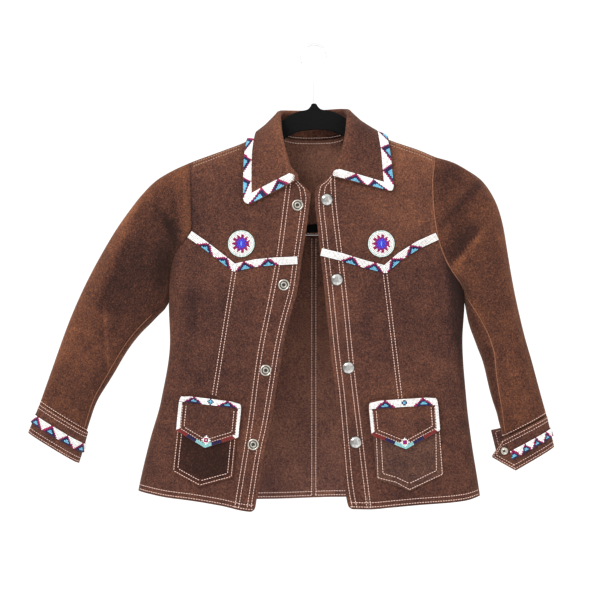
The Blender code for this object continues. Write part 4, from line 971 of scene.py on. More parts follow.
def from_path(x, z, path):
    """Distance of each point from a path of straight stretches."""
    x, z = np.asarray(x, float), np.asarray(z, float)
    a, b = path[:-1], path[1:]
    run = b - a
    p = np.stack([x, z], -1)[..., None, :]
    t = np.clip(((p - a) * run).sum(-1) / (run * run).sum(-1), 0, 1)
    return np.linalg.norm(p - a - t[..., None] * run, axis=-1).min(-1)


def uneven(x, z, face):
    """Soft waves in the suede, with a dip along each seam that is stitched down."""
    layer = 0 if face < 0 else 1
    total = 0.8 * noise(x, z, 58, layer) + 0.4 * noise(x, z, 23, layer + 2)
    total = total + 0.13 * noise(x, z, 9, layer)
    for path, wide, deep in DIPS[face]:
        total = total - deep * np.exp(-(from_path(x, z, path) / wide) ** 2)
    return total


def rounded(grid, corner, one, other, radius):
    """A grid whose sharp corner, between the edges towards one and other, is drawn in round."""
    corner, one, other = (np.array(p, float) for p in (corner, one, other))
    a, b = unit(np.array([one - corner, other - corner]))
    half = math.acos(float(np.clip(a @ b, -1, 1))) / 2
    centre = corner + unit((a + b)[None])[0] * radius / math.sin(half)
    normals = unit(np.array([(a @ b) * e - f for e, f in ((a, b), (b, a))]))
    off = grid[..., [0, 2]] - centre
    far = np.linalg.norm(off, axis=-1)
    out = off @ normals.T
    gap = float(normals[0] @ normals[1])
    within = (out[..., 0] > gap * out[..., 1]) & (out[..., 1] > gap * out[..., 0])
    within &= out.max(-1) > 0
    within &= np.linalg.norm(grid[..., [0, 2]] - corner, axis=-1) < radius / math.tan(half) + 1
    scale = np.where(within, out.max(-1) / np.maximum(far, 1e-6), 1.0)
    result = grid.copy()
    result[..., 0] = centre[0] + off[..., 0] * scale
    result[..., 2] = centre[1] + off[..., 1] * scale
    return result


def collar_rounded(grid):
    """The collar's points and the ends of its fold, drawn in."""
    for row, beside, radius in (0, 1, 7.0), (-1, -2, 4.5):
        edge, near = ((COLLAR["edge_x"][i], COLLAR["edge_z"][i]) for i in (row, beside))
        fold, over = ((COLLAR["fold_x"][i], COLLAR["fold_z"][i]) for i in (row, beside))
        grid = rounded(grid, edge, near, fold, radius)
        grid = rounded(grid, fold, edge, over, 5.0)
    return grid


def foot_rounded(grid, side, radius=5.0):
    """The front band's corner at the hem, drawn in."""
    x = float(seam_x(side, "front_edge", -570))
    x = float(seam_x(side, "front_edge", float(hem_z(-1, x))))
    over = x + 12 * SIDES[side]["sign"]
    return rounded(grid, (x, float(hem_z(-1, x))), (x, -560.0),
                   (over, float(hem_z(-1, over))), radius)


def flap_rounded(grid, side, radius=8.0):
    tl, tr, br, _, bl = SIDES[side]["flap"]
    return rounded(rounded(grid, tl, tr, bl, radius), tr, tl, br, radius)


def front_rounded(grid, side, radius=6.0):
    """The front band's corner at the neck, drawn in."""
    top = float(SIDES[side]["front_edge"]["z"][0])
    x = float(seam_x(side, "front_edge", top))
    over = x + SIDES[side]["sign"] * 12
    lower = float(seam_x(side, "front_edge", top - 20)), top - 20
    return rounded(grid, (x, top), lower, (over, float(neckline(side, over))), radius)


def plain_line(fro, to, count):
    return np.linspace(fro, to, count + 1)


def seam_path(side, column, top, bottom, off=0.0, count=24):
    z = plain_line(top, bottom, count)
    return pairs(seam_x(side, column, z) + off, z)


def hem_path(face, fro, to, up, count=30):
    x = plain_line(fro, to, count)
    return pairs(x, hem_z(face, x) + up)


def body_rows():
    """Rows of stitching on the body, with the face, and the dips beneath them."""
    rows, dips = [], {-1: [], 1: []}
    for side, part in SIDES.items():
        sign = part["sign"]
        edge_top = float(part["front_edge"]["z"][0])
        band_top = float(part["band_seam"]["z"][0])
        for inset in {"left": (5.2, 10.0), "right": (4.8, 10.2)}[side]:
            down = seam_path(side, "front_edge", edge_top - inset * 1.3, -574, sign * inset)
            x = plain_line(part["neckline"]["x"][6], down[0, 0] + sign * 2.5, 6)
            over = pairs(x, neckline(side, x) - (3.2 if inset < 8 else 7.4))
            rows.append((-1, np.concatenate([over, down])))
        for off in (-2.4, 2.4):
            rows.append((-1, seam_path(side, "band_seam", band_top - 3, -574, sign * off)))
        dips[-1].append((seam_path(side, "band_seam", band_top, -575), 3.2, -0.35))
        dips[-1].append((seam_path(side, "band_seam", band_top, -575, sign * 5.5), 2.2, 0.45))
        dart = np.array([(part["yoke_point"], yoke_z(part["yoke_point"]) - 4), part["dart_foot"]])
        across = unit((dart[1] - dart[0])[None])[0][::-1] * (1, -1)
        for off in (-2.2, 2.2):
            rows.append((-1, dart + off * across))
        dips[-1].append((dart, 1.6, -0.5))
        dips[-1].append((dart, 5.5, 0.5))
        wide = sign * (float(half_width(sign, -560)) - 3)
        front = float(seam_x(side, "front_edge", -572)) + sign * 2.5
        for up in (3.0, 8.2):
            rows.append((-1, hem_path(-1, wide, front, up)))
            rows.append((1, hem_path(1, wide, sign * 1.5, up)))
        dips[-1].append((hem_path(-1, wide, front, 10.5), 2.5, 0.5))
        dips[1].append((hem_path(1, wide, 0, 10.5), 2.5, 0.5))
        back_seam = plain_line(BACK_YOKE_Z - 3, float(hem_z(1, 0.0)) + 2, 30)
        rows.append((1, pairs(sign * 2.8, back_seam)))
        arm_top = part["shoulder"][1] - 8
        over = plain_line(sign * 92, part["shoulder"][0] - sign * 4, 12)
        for inset in (3.0, 7.0):
            rows.append(("faint", pairs(over, shoulder_line(over) - inset)))
        dips[-1].append((seam_path(side, "armhole", arm_top, -320), 5.0, 0.9))
        dips[1].append((seam_path(side, "armhole", arm_top, -320), 5.0, 0.9))
        yoke = YOKE["x"] * sign > 0
        dips[-1].append((pairs(YOKE["x"][yoke], YOKE["z"][yoke] - 6), 3.5, 0.5))
        for name, deep in (("pocket", 0.35), ("flap", 0.2)):
            dips[-1].append((np.array(part[name] + part[name][:1], float), 5.0, deep))
    ends = [float(seam_x(side, "armhole", BACK_YOKE_Z)) * 0.98 for side in SIDES]
    rows.append((1, pairs(plain_line(ends[0], ends[1], 30), BACK_YOKE_Z + 2.2)))
    dips[1].append((np.array([(0.0, BACK_YOKE_Z), (0.0, -575.0)]), 3.0, -0.5))
    dips[1].append((pairs(np.array(ends), BACK_YOKE_Z - 3), 3.0, 0.5))
    neck = plain_line(-38, 38, 16)
    rows.append((1, pairs(neck, back_neck(neck) - 3.8)))
    return rows, dips


ROWS, DIPS = body_rows()


# Materials

def shader_of(name):
    made = bpy.data.materials.new(name)
    made.use_nodes = True
    return made, made.node_tree, made.node_tree.nodes["Principled BSDF"]


def dial(node, values):
    """Set a node's own sockets."""
    for name, value in values.items():
        node.inputs[name].default_value = value


def noise_node(tree, scale, detail=3.0, rough=0.55):
    place = tree.nodes.get("place") or tree.nodes.new("ShaderNodeTexCoord")
    place.name = "place"
    node = tree.nodes.new("ShaderNodeTexNoise")
    dial(node, {"Scale": scale, "Detail": detail, "Roughness": rough})
    tree.links.new(place.outputs["Object"], node.inputs["Vector"])
    return node.outputs["Fac"]


def sum_node(tree, kind, a, b):
    node = tree.nodes.new("ShaderNodeMath")
    node.operation = kind
    for socket, value in zip(node.inputs, (a, b)):
        if isinstance(value, (int, float)):
            socket.default_value = value
        else:
            tree.links.new(value, socket)
    return node.outputs[0]


def ramp_node(tree, value, stops):
    node = tree.nodes.new("ShaderNodeValToRGB")
    ramp = node.color_ramp
    while len(ramp.elements) < len(stops):
        ramp.elements.new(0.5)
    for element, (at, colour) in zip(ramp.elements, stops):
        element.position = at
        element.color = (*colour, 1)
    tree.links.new(value, node.inputs["Fac"])
    return node.outputs["Color"]


def bump_node(tree, shader, height, strength, distance):
    node = tree.nodes.new("ShaderNodeBump")
    dial(node, {"Strength": strength, "Distance": distance})
    tree.links.new(height, node.inputs["Height"])
    tree.links.new(node.outputs["Normal"], shader.inputs["Normal"])


SUEDE_NOISE = table("scale detail rough much", [
    (14, 3, 0.5, 0.3), (60, 3, 0.5, 0.32), (230, 3, 0.6, 0.4), (600, 3, 0.7, 1.75)])
SUEDE_COLOURS = table("at red green blue", [
    (0.0, 0.018, 0.0085, 0.0075), (0.28, 0.046, 0.019, 0.0155), (0.5, 0.084, 0.0335, 0.0225),
    (0.72, 0.140, 0.054, 0.031), (1.0, 0.245, 0.098, 0.048)])


def suede(name, shift=0.0, tint=(1.0, 1.0, 1.0)):
    """Napped leather: blotches of nap lying each way, fine fuzz, and rust where it is worn, shifted
    by a tone that holds painted shade and highlights too.
    """
    made, tree, shader = shader_of(name)
    tone = tree.nodes.new("ShaderNodeAttribute")
    tone.attribute_name = "tone"
    value = 0.42 + shift
    for n in rows_of(SUEDE_NOISE):
        field = noise_node(tree, n["scale"], n["detail"], n["rough"])
        part = sum_node(tree, "SUBTRACT", field, 0.5)
        value = sum_node(tree, "ADD", sum_node(tree, "MULTIPLY", part, n["much"]), value)
    # the tone attribute: the suede's own tone and wear, with painted shade and highlights
    value = sum_node(tree, "ADD", value, sum_node(tree, "MULTIPLY", tone.outputs["Fac"], 0.2))
    stops = [(c["at"], (c["red"] * tint[0], c["green"] * tint[1], c["blue"] * tint[2]))
             for c in rows_of(SUEDE_COLOURS)]
    tree.links.new(ramp_node(tree, value, stops), shader.inputs["Base Color"])
    dial(shader, {"Roughness": 0.96, "Specular IOR Level": 0.12, "Sheen Weight": 0.16,
                  "Sheen Roughness": 0.45, "Sheen Tint": (0.72, 0.46, 0.34, 1)})
    height = sum_node(tree, "ADD", noise_node(tree, 520, 4, 0.7),
                      sum_node(tree, "MULTIPLY", noise_node(tree, 130, 3, 0.6), 1.6))
    bump_node(tree, shader, height, 0.55, 0.0007)
    return made


def plain(name, colour, rough, metal=0.0, coat=0.0, vary=0.0, scale=400, bump=0.0, shine=0.5):
    """One colour with a little change in it from place to place."""
    made, tree, shader = shader_of(name)
    dark = tuple(c * (1 - vary) for c in colour)
    light = tuple(min(1.0, c * (1 + vary)) for c in colour)
    field = noise_node(tree, scale, 3, 0.6)
    tree.links.new(ramp_node(tree, field, [(0.3, dark), (0.7, light)]), shader.inputs["Base Color"])
    dial(shader, {"Roughness": rough, "Metallic": metal, "Coat Weight": coat,
                  "Specular IOR Level": shine})
    if bump:
        bump_node(tree, shader, field, 0.5, bump)
    return made


SUEDE_LOOK = suede("suede")
SUEDE_WARM = suede("suede_sleeves", 0.0, (1.04, 0.98, 0.86))
SUEDE_DEEP = suede("suede_inside", 0.34, (0.95, 1.08, 1.40))
SUEDE_EDGE = suede("suede_edge", 0.16)
SUEDE_SOOT = suede("suede_dark_pocket", 0.0, (1.0, 0.90, 0.78))
SUEDE_GREY = suede("suede_pale_pocket", -0.01, (0.93, 1.1, 1.2))
WELT = plain("suede_welt", (0.205, 0.088, 0.052), 0.95, vary=0.35, scale=500, bump=0.0004,
             shine=0.1)
THREAD = plain("thread", (0.84, 0.56, 0.47), 0.75, vary=0.2, scale=900, bump=0.0002)
THREAD_BRIGHT = plain("thread_inside", (0.97, 0.66, 0.57), 0.75, vary=0.15, scale=900)
THREAD_RUST = plain("thread_rust", (0.46, 0.27, 0.17), 0.8, vary=0.25, scale=900)
BEAD_COLOURS = {
    "white": (0.83, 0.815, 0.80), "magenta": (0.32, 0.008, 0.085), "navy": (0.015, 0.011, 0.066),
    "turquoise": (0.16, 0.47, 0.64), "violet": (0.15, 0.022, 0.40), "pale": (0.62, 0.75, 0.70),
    "scarlet": (0.19, 0.018, 0.016), "sky": (0.16, 0.34, 0.88), "cobalt": (0.06, 0.07, 0.64),
    "mint": (0.27, 0.55, 0.55),
}
BEAD_LOOKS = [plain(f"bead_{name}", colour, 0.32, coat=0.1, vary=0.14, scale=350, shine=0.3)
              for name, colour in BEAD_COLOURS.items()]
WHITE, MAGENTA, NAVY, TURQUOISE, VIOLET, PALE, SCARLET, SKY, COBALT, MINT = range(10)
METAL = plain("snap_metal", (0.47, 0.44, 0.39), 0.3, metal=1.0, vary=0.2, scale=330, bump=0.0003)
CAP_METAL = plain("cap_metal", (0.40, 0.39, 0.375), 0.2, metal=1.0, vary=0.75, scale=120,
                  bump=0.0005)
# dark metal: the ring in each socket's groove, and painted shade round the foot of each cap
RING_AND_RIM_SHADE = plain("snap_ring_and_rim_shade", (0.075, 0.068, 0.06), 0.45, metal=1.0, vary=0.3, scale=300)
# near black: painted shade in the eye of each socket
SOCKET_HOLE_SHADE = plain("snap_hole_shade", (0.02, 0.018, 0.016), 0.6, vary=0.2)
VELVET = plain("hanger_flock", (0.0052, 0.0050, 0.0052), 0.95, vary=0.4, scale=700, bump=0.0004,
               shine=0.1)
CHROME = plain("hook_chrome", (0.82, 0.82, 0.83), 0.12, metal=1.0, vary=0.03)


# Pieces

FRONT, BACK, RIGHT = np.array([0, -1, 0]), np.array([0, 1, 0]), np.array([1, 0, 0])


def show(obj, slot, *nodes):
    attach(obj, "root")
    if nodes:
        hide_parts(*nodes)
    return obj


def linked(name, data):
    """An object in the scene that holds data."""
    obj = bpy.data.objects.new(name, data)
    bpy.context.scene.collection.objects.link(obj)
    return obj


def place_mesh(name, points, faces, looks, index=None):
    mesh = bpy.data.meshes.new(name)
    mesh.from_pydata((points * MM).tolist(), [], faces.tolist())
    for look in looks:
        mesh.materials.append(look)
    if index is not None:
        mesh.polygons.foreach_set("material_index", index)
    mesh.shade_smooth()
    return linked(name, mesh)


def tube_faces(rings, sides):
    """Faces of an open tube whose points go round it ring by ring."""
    i, j = np.arange(rings - 1)[:, None], np.arange(sides)[None]
    return np.stack([i * sides + j, i * sides + (j + 1) % sides,
                     (i + 1) * sides + (j + 1) % sides, (i + 1) * sides + j], -1).reshape(-1, 4)


def cloth(name, grid, thick, tone, out, outward=False, ring=False, look=None):
    """A piece of suede: a fine open surface, thickened, with its cut edges a little lighter."""
    rows, columns = grid.shape[:2]
    index = np.arange(rows * columns).reshape(rows, columns)
    if ring:
        index = np.concatenate([index, index[:, :1]], 1)
    faces = np.stack([index[:-1, :-1], index[:-1, 1:], index[1:, 1:], index[1:, :-1]], -1)
    a, b, c, _ = grid.reshape(-1, 3)[faces[(rows - 1) // 2, (index.shape[1] - 1) // 2]]
    faces = faces.reshape(-1, 4)
    if np.dot(np.cross(b - a, c - b), out) < 0:
        faces = faces[:, ::-1]
    obj = place_mesh("fine_" + name, grid.reshape(-1, 3), faces,
                     [look or SUEDE_LOOK, SUEDE_DEEP, SUEDE_EDGE])
    # tone: the suede's own tone and wear, with painted shade and highlights
    attribute = obj.data.attributes.new("tone", "FLOAT", "POINT")
    attribute.data.foreach_set("value", tone.reshape(-1).astype(np.float32))
    shell = obj.modifiers.new("wall", "SOLIDIFY")
    shell.thickness = thick * MM
    shell.offset = 1 if outward else -1
    shell.material_offset = 0 if outward else 1
    shell.material_offset_rim = 2
    show(obj, "suede", name)


def painted_shade_and_tone(x, z, face):
    """The sum of the painted places of shade, light and tone and of the painted streaks of shade
    and highlight along folds and seams.
    """
    total = 0.0
    for t in rows_of(SHADE_AND_TONE_PATCHES, face):
        c, k = math.cos(math.radians(t["turn"])), math.sin(math.radians(t["turn"]))
        u = ((x - t["x"]) * c + (z - t["z"]) * k) / t["wide"]
        v = (-(x - t["x"]) * k + (z - t["z"]) * c) / t["high"]
        total = total + t["much"] * np.exp(-(u * u + v * v) ** 1.5)
    for t in rows_of(SHADE_STREAKS, face):
        run = np.array([t["x1"] - t["x0"], t["z1"] - t["z0"]])
        long = np.hypot(*run)
        u = ((x - t["x0"]) * run[0] + (z - t["z0"]) * run[1]) / long
        v = ((x - t["x0"]) * -run[1] + (z - t["z0"]) * run[0]) / long
        beyond = np.maximum(np.maximum(-u, u - long), 0) / 9
        wide = np.where(v > 0, t["left"], t["right"])
        total = total + t["much"] * np.exp(-(v / wide) ** 2 - beyond ** 2)
    return total


def body_tone(grid, face):
    x, z = grid[..., 0], grid[..., 2]
    # random tone, with the painted shade and highlights of the tables
    total = 0.35 * noise(x, z, 70, 3) + 0.2 * noise(x, z, 27, 2) + painted_shade_and_tone(x, z, face)
    # lighter along the top of the shoulders and at the body's sides, where the cloth turns away:
    # partly worn nap, partly painted light
    fall = np.clip((shoulder_line(x) - z) / 16, 0, 1)
    side = np.clip((np.abs(x) / half_width(x, z) - 0.97) / 0.03, 0, 1)
    return total + 0.7 * (1 - fall) + 0.5 * side


def edge_tone(shape, wide=1.0, much=0.6):
    """Lighter nap towards the four edges of a grid."""
    i, j = (np.minimum(np.arange(count), count - 1 - np.arange(count)) for count in shape)
    return much * np.exp(-(np.minimum(i[:, None], j[None]) / wide) ** 2)


def resampled(grid, pitch, columns, ends):
    """Points in lanes along the grid at an even pitch, and each row's distance.

    The lanes' ends are rounded with the radius ends.
    """
    mile = lengths(grid[len(grid) // 2])
    count = max(2, int(mile[-1] / pitch))
    at = (np.arange(count) + 0.5) * mile[-1] / count
    reach = 3 * ends + 1
    near = np.clip(1 - at / reach, 0, 1) - np.clip(1 - (mile[-1] - at) / reach, 0, 1)
    lanes = []
    for share in (np.arange(columns) + 0.5) / columns:
        start = ends * (1 - math.sqrt(1 - (2 * share - 1) ** 2))
        low = min(int(share * (len(grid) - 1)), len(grid) - 2)
        t = share * (len(grid) - 1) - low
        lane = grid[low] * (1 - t) + grid[low + 1] * t
        lanes.append(along_path(at + start * near, mile, lane))
    return np.stack(lanes, 1), at


def beads(name, points, across, normal, colours, nodes, size=0.93, long=0.78, wide=0.86):
    """Glass beads joined in one mesh, each a short barrel that lies along its row."""
    points, across, normal = (a.reshape(-1, 3) for a in (points, across, normal))
    count, sides = len(points), 8
    long, wide = (np.broadcast_to(np.asarray(v, float).reshape(-1), count)[:, None, None, None]
                  for v in (long, wide))
    across = unit(across)
    normal = unit(normal - (normal * across).sum(-1, keepdims=True) * across)
    third = np.cross(across, normal)
    rings = np.array([(-1.0, 0.6), (-0.55, 1.0), (0.55, 1.0), (1.0, 0.6)])
    turn = np.arange(sides) / sides * 2 * math.pi
    wobble = 1 + 0.05 * np.random.default_rng(count).standard_normal((count, 1, 1, 1))
    circle = (size * np.cos(turn)[None, None, :, None] * normal[:, None, None]
              + wide * np.sin(turn)[None, None, :, None] * third[:, None, None])
    verts = (points[:, None, None] + rings[None, :, 0, None, None] * long * across[:, None, None]
             + rings[None, :, 1, None, None] * wobble * circle)
    quad = tube_faces(len(rings), sides)
    faces = (quad[None] + (np.arange(count) * 4 * sides)[:, None, None]).reshape(-1, 4)
    index = np.repeat(np.asarray(colours).reshape(-1), len(quad))
    show(place_mesh(name, verts.reshape(-1, 3), faces, BEAD_LOOKS, index), "beadwork", *nodes)


def lane_frames(points):
    across = np.gradient(points, axis=1)
    along = np.gradient(points, axis=0)
    return across, np.cross(across, along)


def triangles(s, v, centres, half, base=False):
    """Colours of outlined triangles whose base is on the edge v=0: s runs along the band."""
    reach = np.min(np.abs(s[..., None] - np.asarray(centres)) / half, -1) + v
    colour = np.where(reach < 1.03, MAGENTA, WHITE)
    colour = np.where(reach < 0.83, NAVY, colour)
    heart = (reach < (0.58 if base else 0.5)) & (not base or v > 0.2)
    return np.where(heart, TURQUOISE, colour)


def band(name, grid, out, pattern, nodes, columns=6, pitch=1.66, lift=0.95, ends=0.0):
    """Beads over a band's grid. Its first line is the edge where the triangles stand."""
    points, at = resampled(grid, pitch, columns, ends)
    across, normal = lane_frames(points)
    if (normal[len(points) // 2].sum(0) * out).sum() < 0:
        normal = -normal
    points = points + lift * unit(normal)
    v = (np.arange(columns) + 0.5) / columns
    colours = pattern(at[:, None] + 0 * v, v[None] + 0 * at[:, None], at[-1] + at[0])
    lane = np.linalg.norm(across, axis=-1) / 2 * 0.94
    row = np.clip(np.linalg.norm(np.gradient(points, axis=0), axis=-1) / 2, 0.5, 1.5)
    beads(name, points, across, normal, colours, nodes, long=lane, wide=row)


def stitches(name, rows, look, long=2.3, gap=1.0, thick=0.42):
    """Rows of thread: each stitch is a short strand whose ends sink into the suede."""
    all_points, all_faces, start = [], [], 0
    sides = 6
    turn = np.arange(sides) / sides * 2 * math.pi
    steps = np.array([(0, -0.30, 0.5), (0.2, 0.12, 1.0), (0.8, 0.12, 1.0), (1, -0.30, 0.5)])
    quad = tube_faces(len(steps), sides)
    for points, normals in rows:
        mile = lengths(points)
        count = int((mile[-1] - long) / (long + gap)) + 1
        if count < 1:
            continue
        first = (mile[-1] - (count * (long + gap) - gap)) / 2 + np.arange(count) * (long + gap)
        a, b = along_path(first, mile, points), along_path(first + long, mile, points)
        n = unit(along_path(first + long / 2, mile, normals))
        side = np.cross(unit(b - a), n)
        centre = (a[:, None] + steps[None, :, :1] * (b - a)[:, None]
                  + steps[None, :, 1:2] * n[:, None])
        circle = (np.cos(turn)[None, :, None] * n[:, None]
                  + np.sin(turn)[None, :, None] * side[:, None])
        verts = centre[:, :, None] + thick * steps[None, :, 2, None, None] * circle[:, None]
        own = (np.arange(count) * 4 * sides)[:, None, None]
        all_faces.append((quad[None] + start + own).reshape(-1, 4))
        all_points.append(verts.reshape(-1, 3))
        start += count * 4 * sides
    mesh = place_mesh(name, np.concatenate(all_points), np.concatenate(all_faces), [look])
    show(mesh, "suede_trim")


def on_face(xz, face, lift):
    """A row's points on the body, a few millimetres apart, and the way that face looks there."""
    mile = lengths(xz)
    s = np.linspace(0, mile[-1], max(2, int(mile[-1] / 4)))
    xz = along_path(s, mile, xz)
    normal = on_body(xz, face, 1.0) - on_body(xz, face, 0.0)
    return on_body(xz, face, lift), normal if lift >= 0 else -normal


def lathe(name, profile, place, normal, look, nodes, steps=48):
    """A piece of a snap: a profile of radius and height, turned round normal at place."""
    profile = np.array(profile, float)
    number = np.arange(len(profile), dtype=float)
    curve = along_path(np.linspace(0, number[-1], 4 * len(profile) - 3), number, profile)
    mesh = bpy.data.meshes.new(name)
    mesh.from_pydata([(r * MM, 0, h * MM) for r, h in curve],
                     [(i, i + 1) for i in range(len(curve) - 1)], [])
    mesh.materials.append(look)
    obj = linked(name, mesh)
    screw = obj.modifiers.new("turn", "SCREW")
    screw.steps = screw.render_steps = steps
    screw.use_merge_vertices = True
    screw.merge_threshold = 0.00001
    screw.use_smooth_shade = True
    obj.location = place * MM
    way = Vector(tuple(map(float, normal)))
    obj.rotation_euler = way.to_track_quat("Z", "Y").to_euler()
    show(obj, "snap_metal", *nodes)


# The underarm seam that rolls round to each sleeve's front, by ring and by angle in degrees
SLEEVE_SEAM = {
    "left": [(0.3, 150), (4.0, 150), (8.0, 146), (14, 150)],
    "right": [(0.5, 145), (5.5, 128), (8.6, 119), (12.9, 141), (14, 150)],
}


def sleeve_seam(side, ring, angle):
    """1 on the underarm seam, fading to 0 beside it."""
    path = np.array(SLEEVE_SEAM[side], float) * (RING_LONG, DEGREE_LONG)
    off = from_path(ring * RING_LONG, np.degrees(angle) * DEGREE_LONG, path)
    return np.exp(-(off / 2.2) ** 2)


def make_fronts(side):
    for name, maker, thick, light in (("front_yoke", front_yoke, SUEDE, 0.25),
                                      ("front_panel", front_panel, SUEDE, 0.25),
                                      ("front_band", front_band, DOUBLED, 0.45)):
        grid = maker(side)
        tone = body_tone(grid, -1) + edge_tone(grid.shape[:2], 1.2, light)
        if name == "front_band":
            grid = foot_rounded(front_rounded(grid, side), side)
        cloth(f"{name}_{side}", grid, thick, tone, FRONT)


def make_sleeve(side):
    angle = np.arange(88) / 88 * 2 * math.pi
    ring = np.linspace(0, len(SLEEVES[side]["ox"]) - 1, 108)
    grid = sleeve_point(side, ring[:, None], angle[None, :])
    x, y, z = np.moveaxis(grid, -1, 0)
    seam = sleeve_seam(side, *np.broadcast_arrays(ring[:, None], angle[None]))
    swell = 0.7 * noise(x + 9 * y, z, 46, 0) + 0.35 * noise(x + 5 * y, z, 19, 1) - 0.9 * seam
    swell = np.sign(y) * swell * np.abs(np.sin(angle)) * np.minimum(1, ring / 2)[:, None]
    grid[..., 1] += swell
    # lighter along the sleeve's outer and inner folds, where it turns away: partly worn nap, partly
    # painted light
    folded = np.exp(-((1 - np.cos(angle)) / 0.12)) + 0.5 * np.exp(-((1 + np.cos(angle)) / 0.05))
    # painted shade and highlights of the folds on the sleeve's front
    dark = painted_shade_and_tone(x, z, 0) * np.clip(3 * np.sin(angle), 0, 1)
    # painted shade along the underarm seam's dip, and lighter at the sleeve's head
    tone = (0.3 * noise(x, z, 60, 3) + folded[None] + dark - 0.8 * seam
            + 0.4 * np.exp(-(ring / 1.2) ** 2)[:, None])
    cloth(f"sleeve_{side}", grid, SUEDE, tone, BACK, ring=True, look=SUEDE_WARM)


def make_pockets(side):
    for kind, key, lift, puff in (("pocket", "pocket", LAID, 0.7),
                                  ("pocket_flap", "flap", 2 * LAID + SUEDE, 0.9)):
        name = f"{kind}_{side}"
        xz = pocket_grid(SIDES[side][key], 0.0, 36, 15)[..., [0, 2]]
        i, j = (np.linspace(-1, 1, count) for count in xz.shape[:2])
        i, j = i[:, None], j[None]
        high = (lift + puff * (1 - i ** 6) * (1 - j ** 6))[..., None]
        grid = on_body(xz, -1) * (1 - high) + on_body(xz, -1, 1.0) * high
        if key == "flap":
            grid = flap_rounded(grid, side)
        dark = {"pocket_left": -2.0 * (1 - i ** 8) * (1 - j ** 8), "pocket_right": 0.3,
                "pocket_flap_left": -0.35, "pocket_flap_right": 0.15}[name]
        tone = body_tone(grid, -1) + edge_tone(grid.shape[:2], 1.0, 0.5) + dark
        look = {"pocket_left": SUEDE_SOOT, "pocket_right": SUEDE_GREY}.get(name)
        cloth(name, grid, SUEDE, tone, FRONT, outward=True, look=look)


def make_cuffs():
    share, t = np.linspace(0, 1, 22)[:, None], np.linspace(0, 1, 150)[None]
    notch = cuff_notch(share)
    along = notch + (1 - notch) * t
    far_end = np.clip((along - 0.85) / 0.15, 0, 1)
    right = right_cuff_point(share * (1 - 0.1 * far_end), along)
    # the right cuff is a little lighter, with painted shade on its hidden end under the tab
    for name, grid, more, out in (("cuff_left", left_cuff(share, t), 0.0, FRONT),
                                  ("cuff_right", right, 0.15 - 1.6 * far_end, RIGHT)):
        tone = edge_tone(grid.shape[:2], 1.5, 0.6) + more
        cloth(name, grid, DOUBLED, tone + 0.15 * noise(grid[..., 0], grid[..., 2], 20, 2), out)


def make_collar():
    half = collar_stations(0.0)
    stations = joined(half, 2 * half[-1] - half[::-1])
    columns = [maker(stations, np.full(stations.shape, share))
               for maker, shares in ((collar_stand, np.linspace(0, 1, 7)),
                                     (collar_bend, np.linspace(0, math.pi, 10)[1:-1]),
                                     (collar_fall, np.linspace(0, 1, 26)))
               for share in shares]
    grid = collar_rounded(np.stack(columns, 1))
    # lighter along the collar's roll; the left half painted lighter and the right half darker, as
    # painted light from the upper left
    bend = np.exp(-((np.arange(grid.shape[1]) - 12) / 6.0) ** 2)[None]
    tone = (0.25 * noise(grid[..., 0], grid[..., 2], 40, 1) + 0.85 * bend
            + np.where(grid[..., 0] < 0, 0.45, -0.1))
    cloth("collar", grid, COLLAR_WALL, tone, BACK + [0, 0, 1])


def make_cloth():
    for side in SIDES:
        make_fronts(side)
        grid = back_panel(side)
        tone = body_tone(grid, 1) + edge_tone(grid.shape[:2], 1.0, 0.05)
        cloth(f"back_panel_{side}", grid, SUEDE, tone, BACK)
        make_sleeve(side)
        make_pockets(side)
    grid = back_yoke()
    cloth("back_yoke", grid, SUEDE, body_tone(grid, 1), BACK)
    make_cuffs()
    make_collar()


def collar_pattern(middle):
    """Triangles counted from the collar's two points, which stay white."""
    mile = lengths(middle)
    half = len(middle) // 2
    a = mile[np.argmin(middle[:half, 2])]
    b = mile[half + np.argmin(middle[half:, 2])]
    around = np.arange(int((b - a) / 2 - 12) // 28 + 1) * 28.5 + 19
    centres = np.concatenate([[a - 17, a - 43, b + 17, b + 43], a + around, b - around])
    return lambda s, v, long: triangles(s, v, centres[(centres > 14) & (centres < long - 14)], 12.0)


def yoke_beads(side):
    grid = yoke_band(side) + (0, 0, 0.9)
    middle = grid[1]
    point = lengths(middle)[np.argmin(np.abs(middle[:, 0] - SIDES[side]["yoke_point"]))]
    centres = point + np.array([-43, -13.5, 14, 42.5])
    lower = grid if grid[0, 5, 2] < grid[-1, 5, 2] else grid[::-1]
    band(f"beads_yoke_{side}", lower, FRONT,
         lambda s, v, long: triangles(s, v, centres, 12.8), [f"yoke_band_{side}"])


def cuff_beads(side):
    first, period, out = {"left": (6.8, 22.4, FRONT), "right": (5.0, 15.5, RIGHT)}[side]
    centres, halves = first + period * np.arange(14), np.full(14, period * 0.47)
    if side == "left":
        share, angle = np.linspace(*CUFF_BAND, 3), np.radians(np.linspace(-86, 222, 140))
        grid = left_cuff_point(share[:, None], angle, left_cuff_rise(angle) + LAID)
    else:
        share, along = np.linspace(*RIGHT_CUFF_BEADS, 3), np.linspace(*RIGHT_CUFF_BAND, 140)
        grid = right_cuff_point(share[:, None], along, LAID)
        centres[0], halves[0] = 3.5, 9.5
    band(f"beads_cuff_{side}", grid[::-1], out,
         lambda s, v, long: triangles(s, v, centres, halves, True), [f"cuff_band_{side}"])


def flap_beads(side, lift):
    """Two triangles along a flap's top, with a diamond between them."""
    def pattern(s, v, long):
        colour = triangles(s, v, [long * 0.23, long * 0.79], 12.5, True)
        gem = np.abs(s - long * 0.51) / 4.6 + np.abs(v - 0.5) / 0.5
        colour = np.where(gem < 1.0, NAVY, colour)
        return np.where(gem < 0.42, TURQUOISE, colour)

    grid = flap_rounded(flap_band(side, lift), side)
    band(f"beads_flap_{side}", grid[::-1], FRONT, pattern, [f"flap_band_{side}"],
         columns={"left": 5, "right": 6}[side])


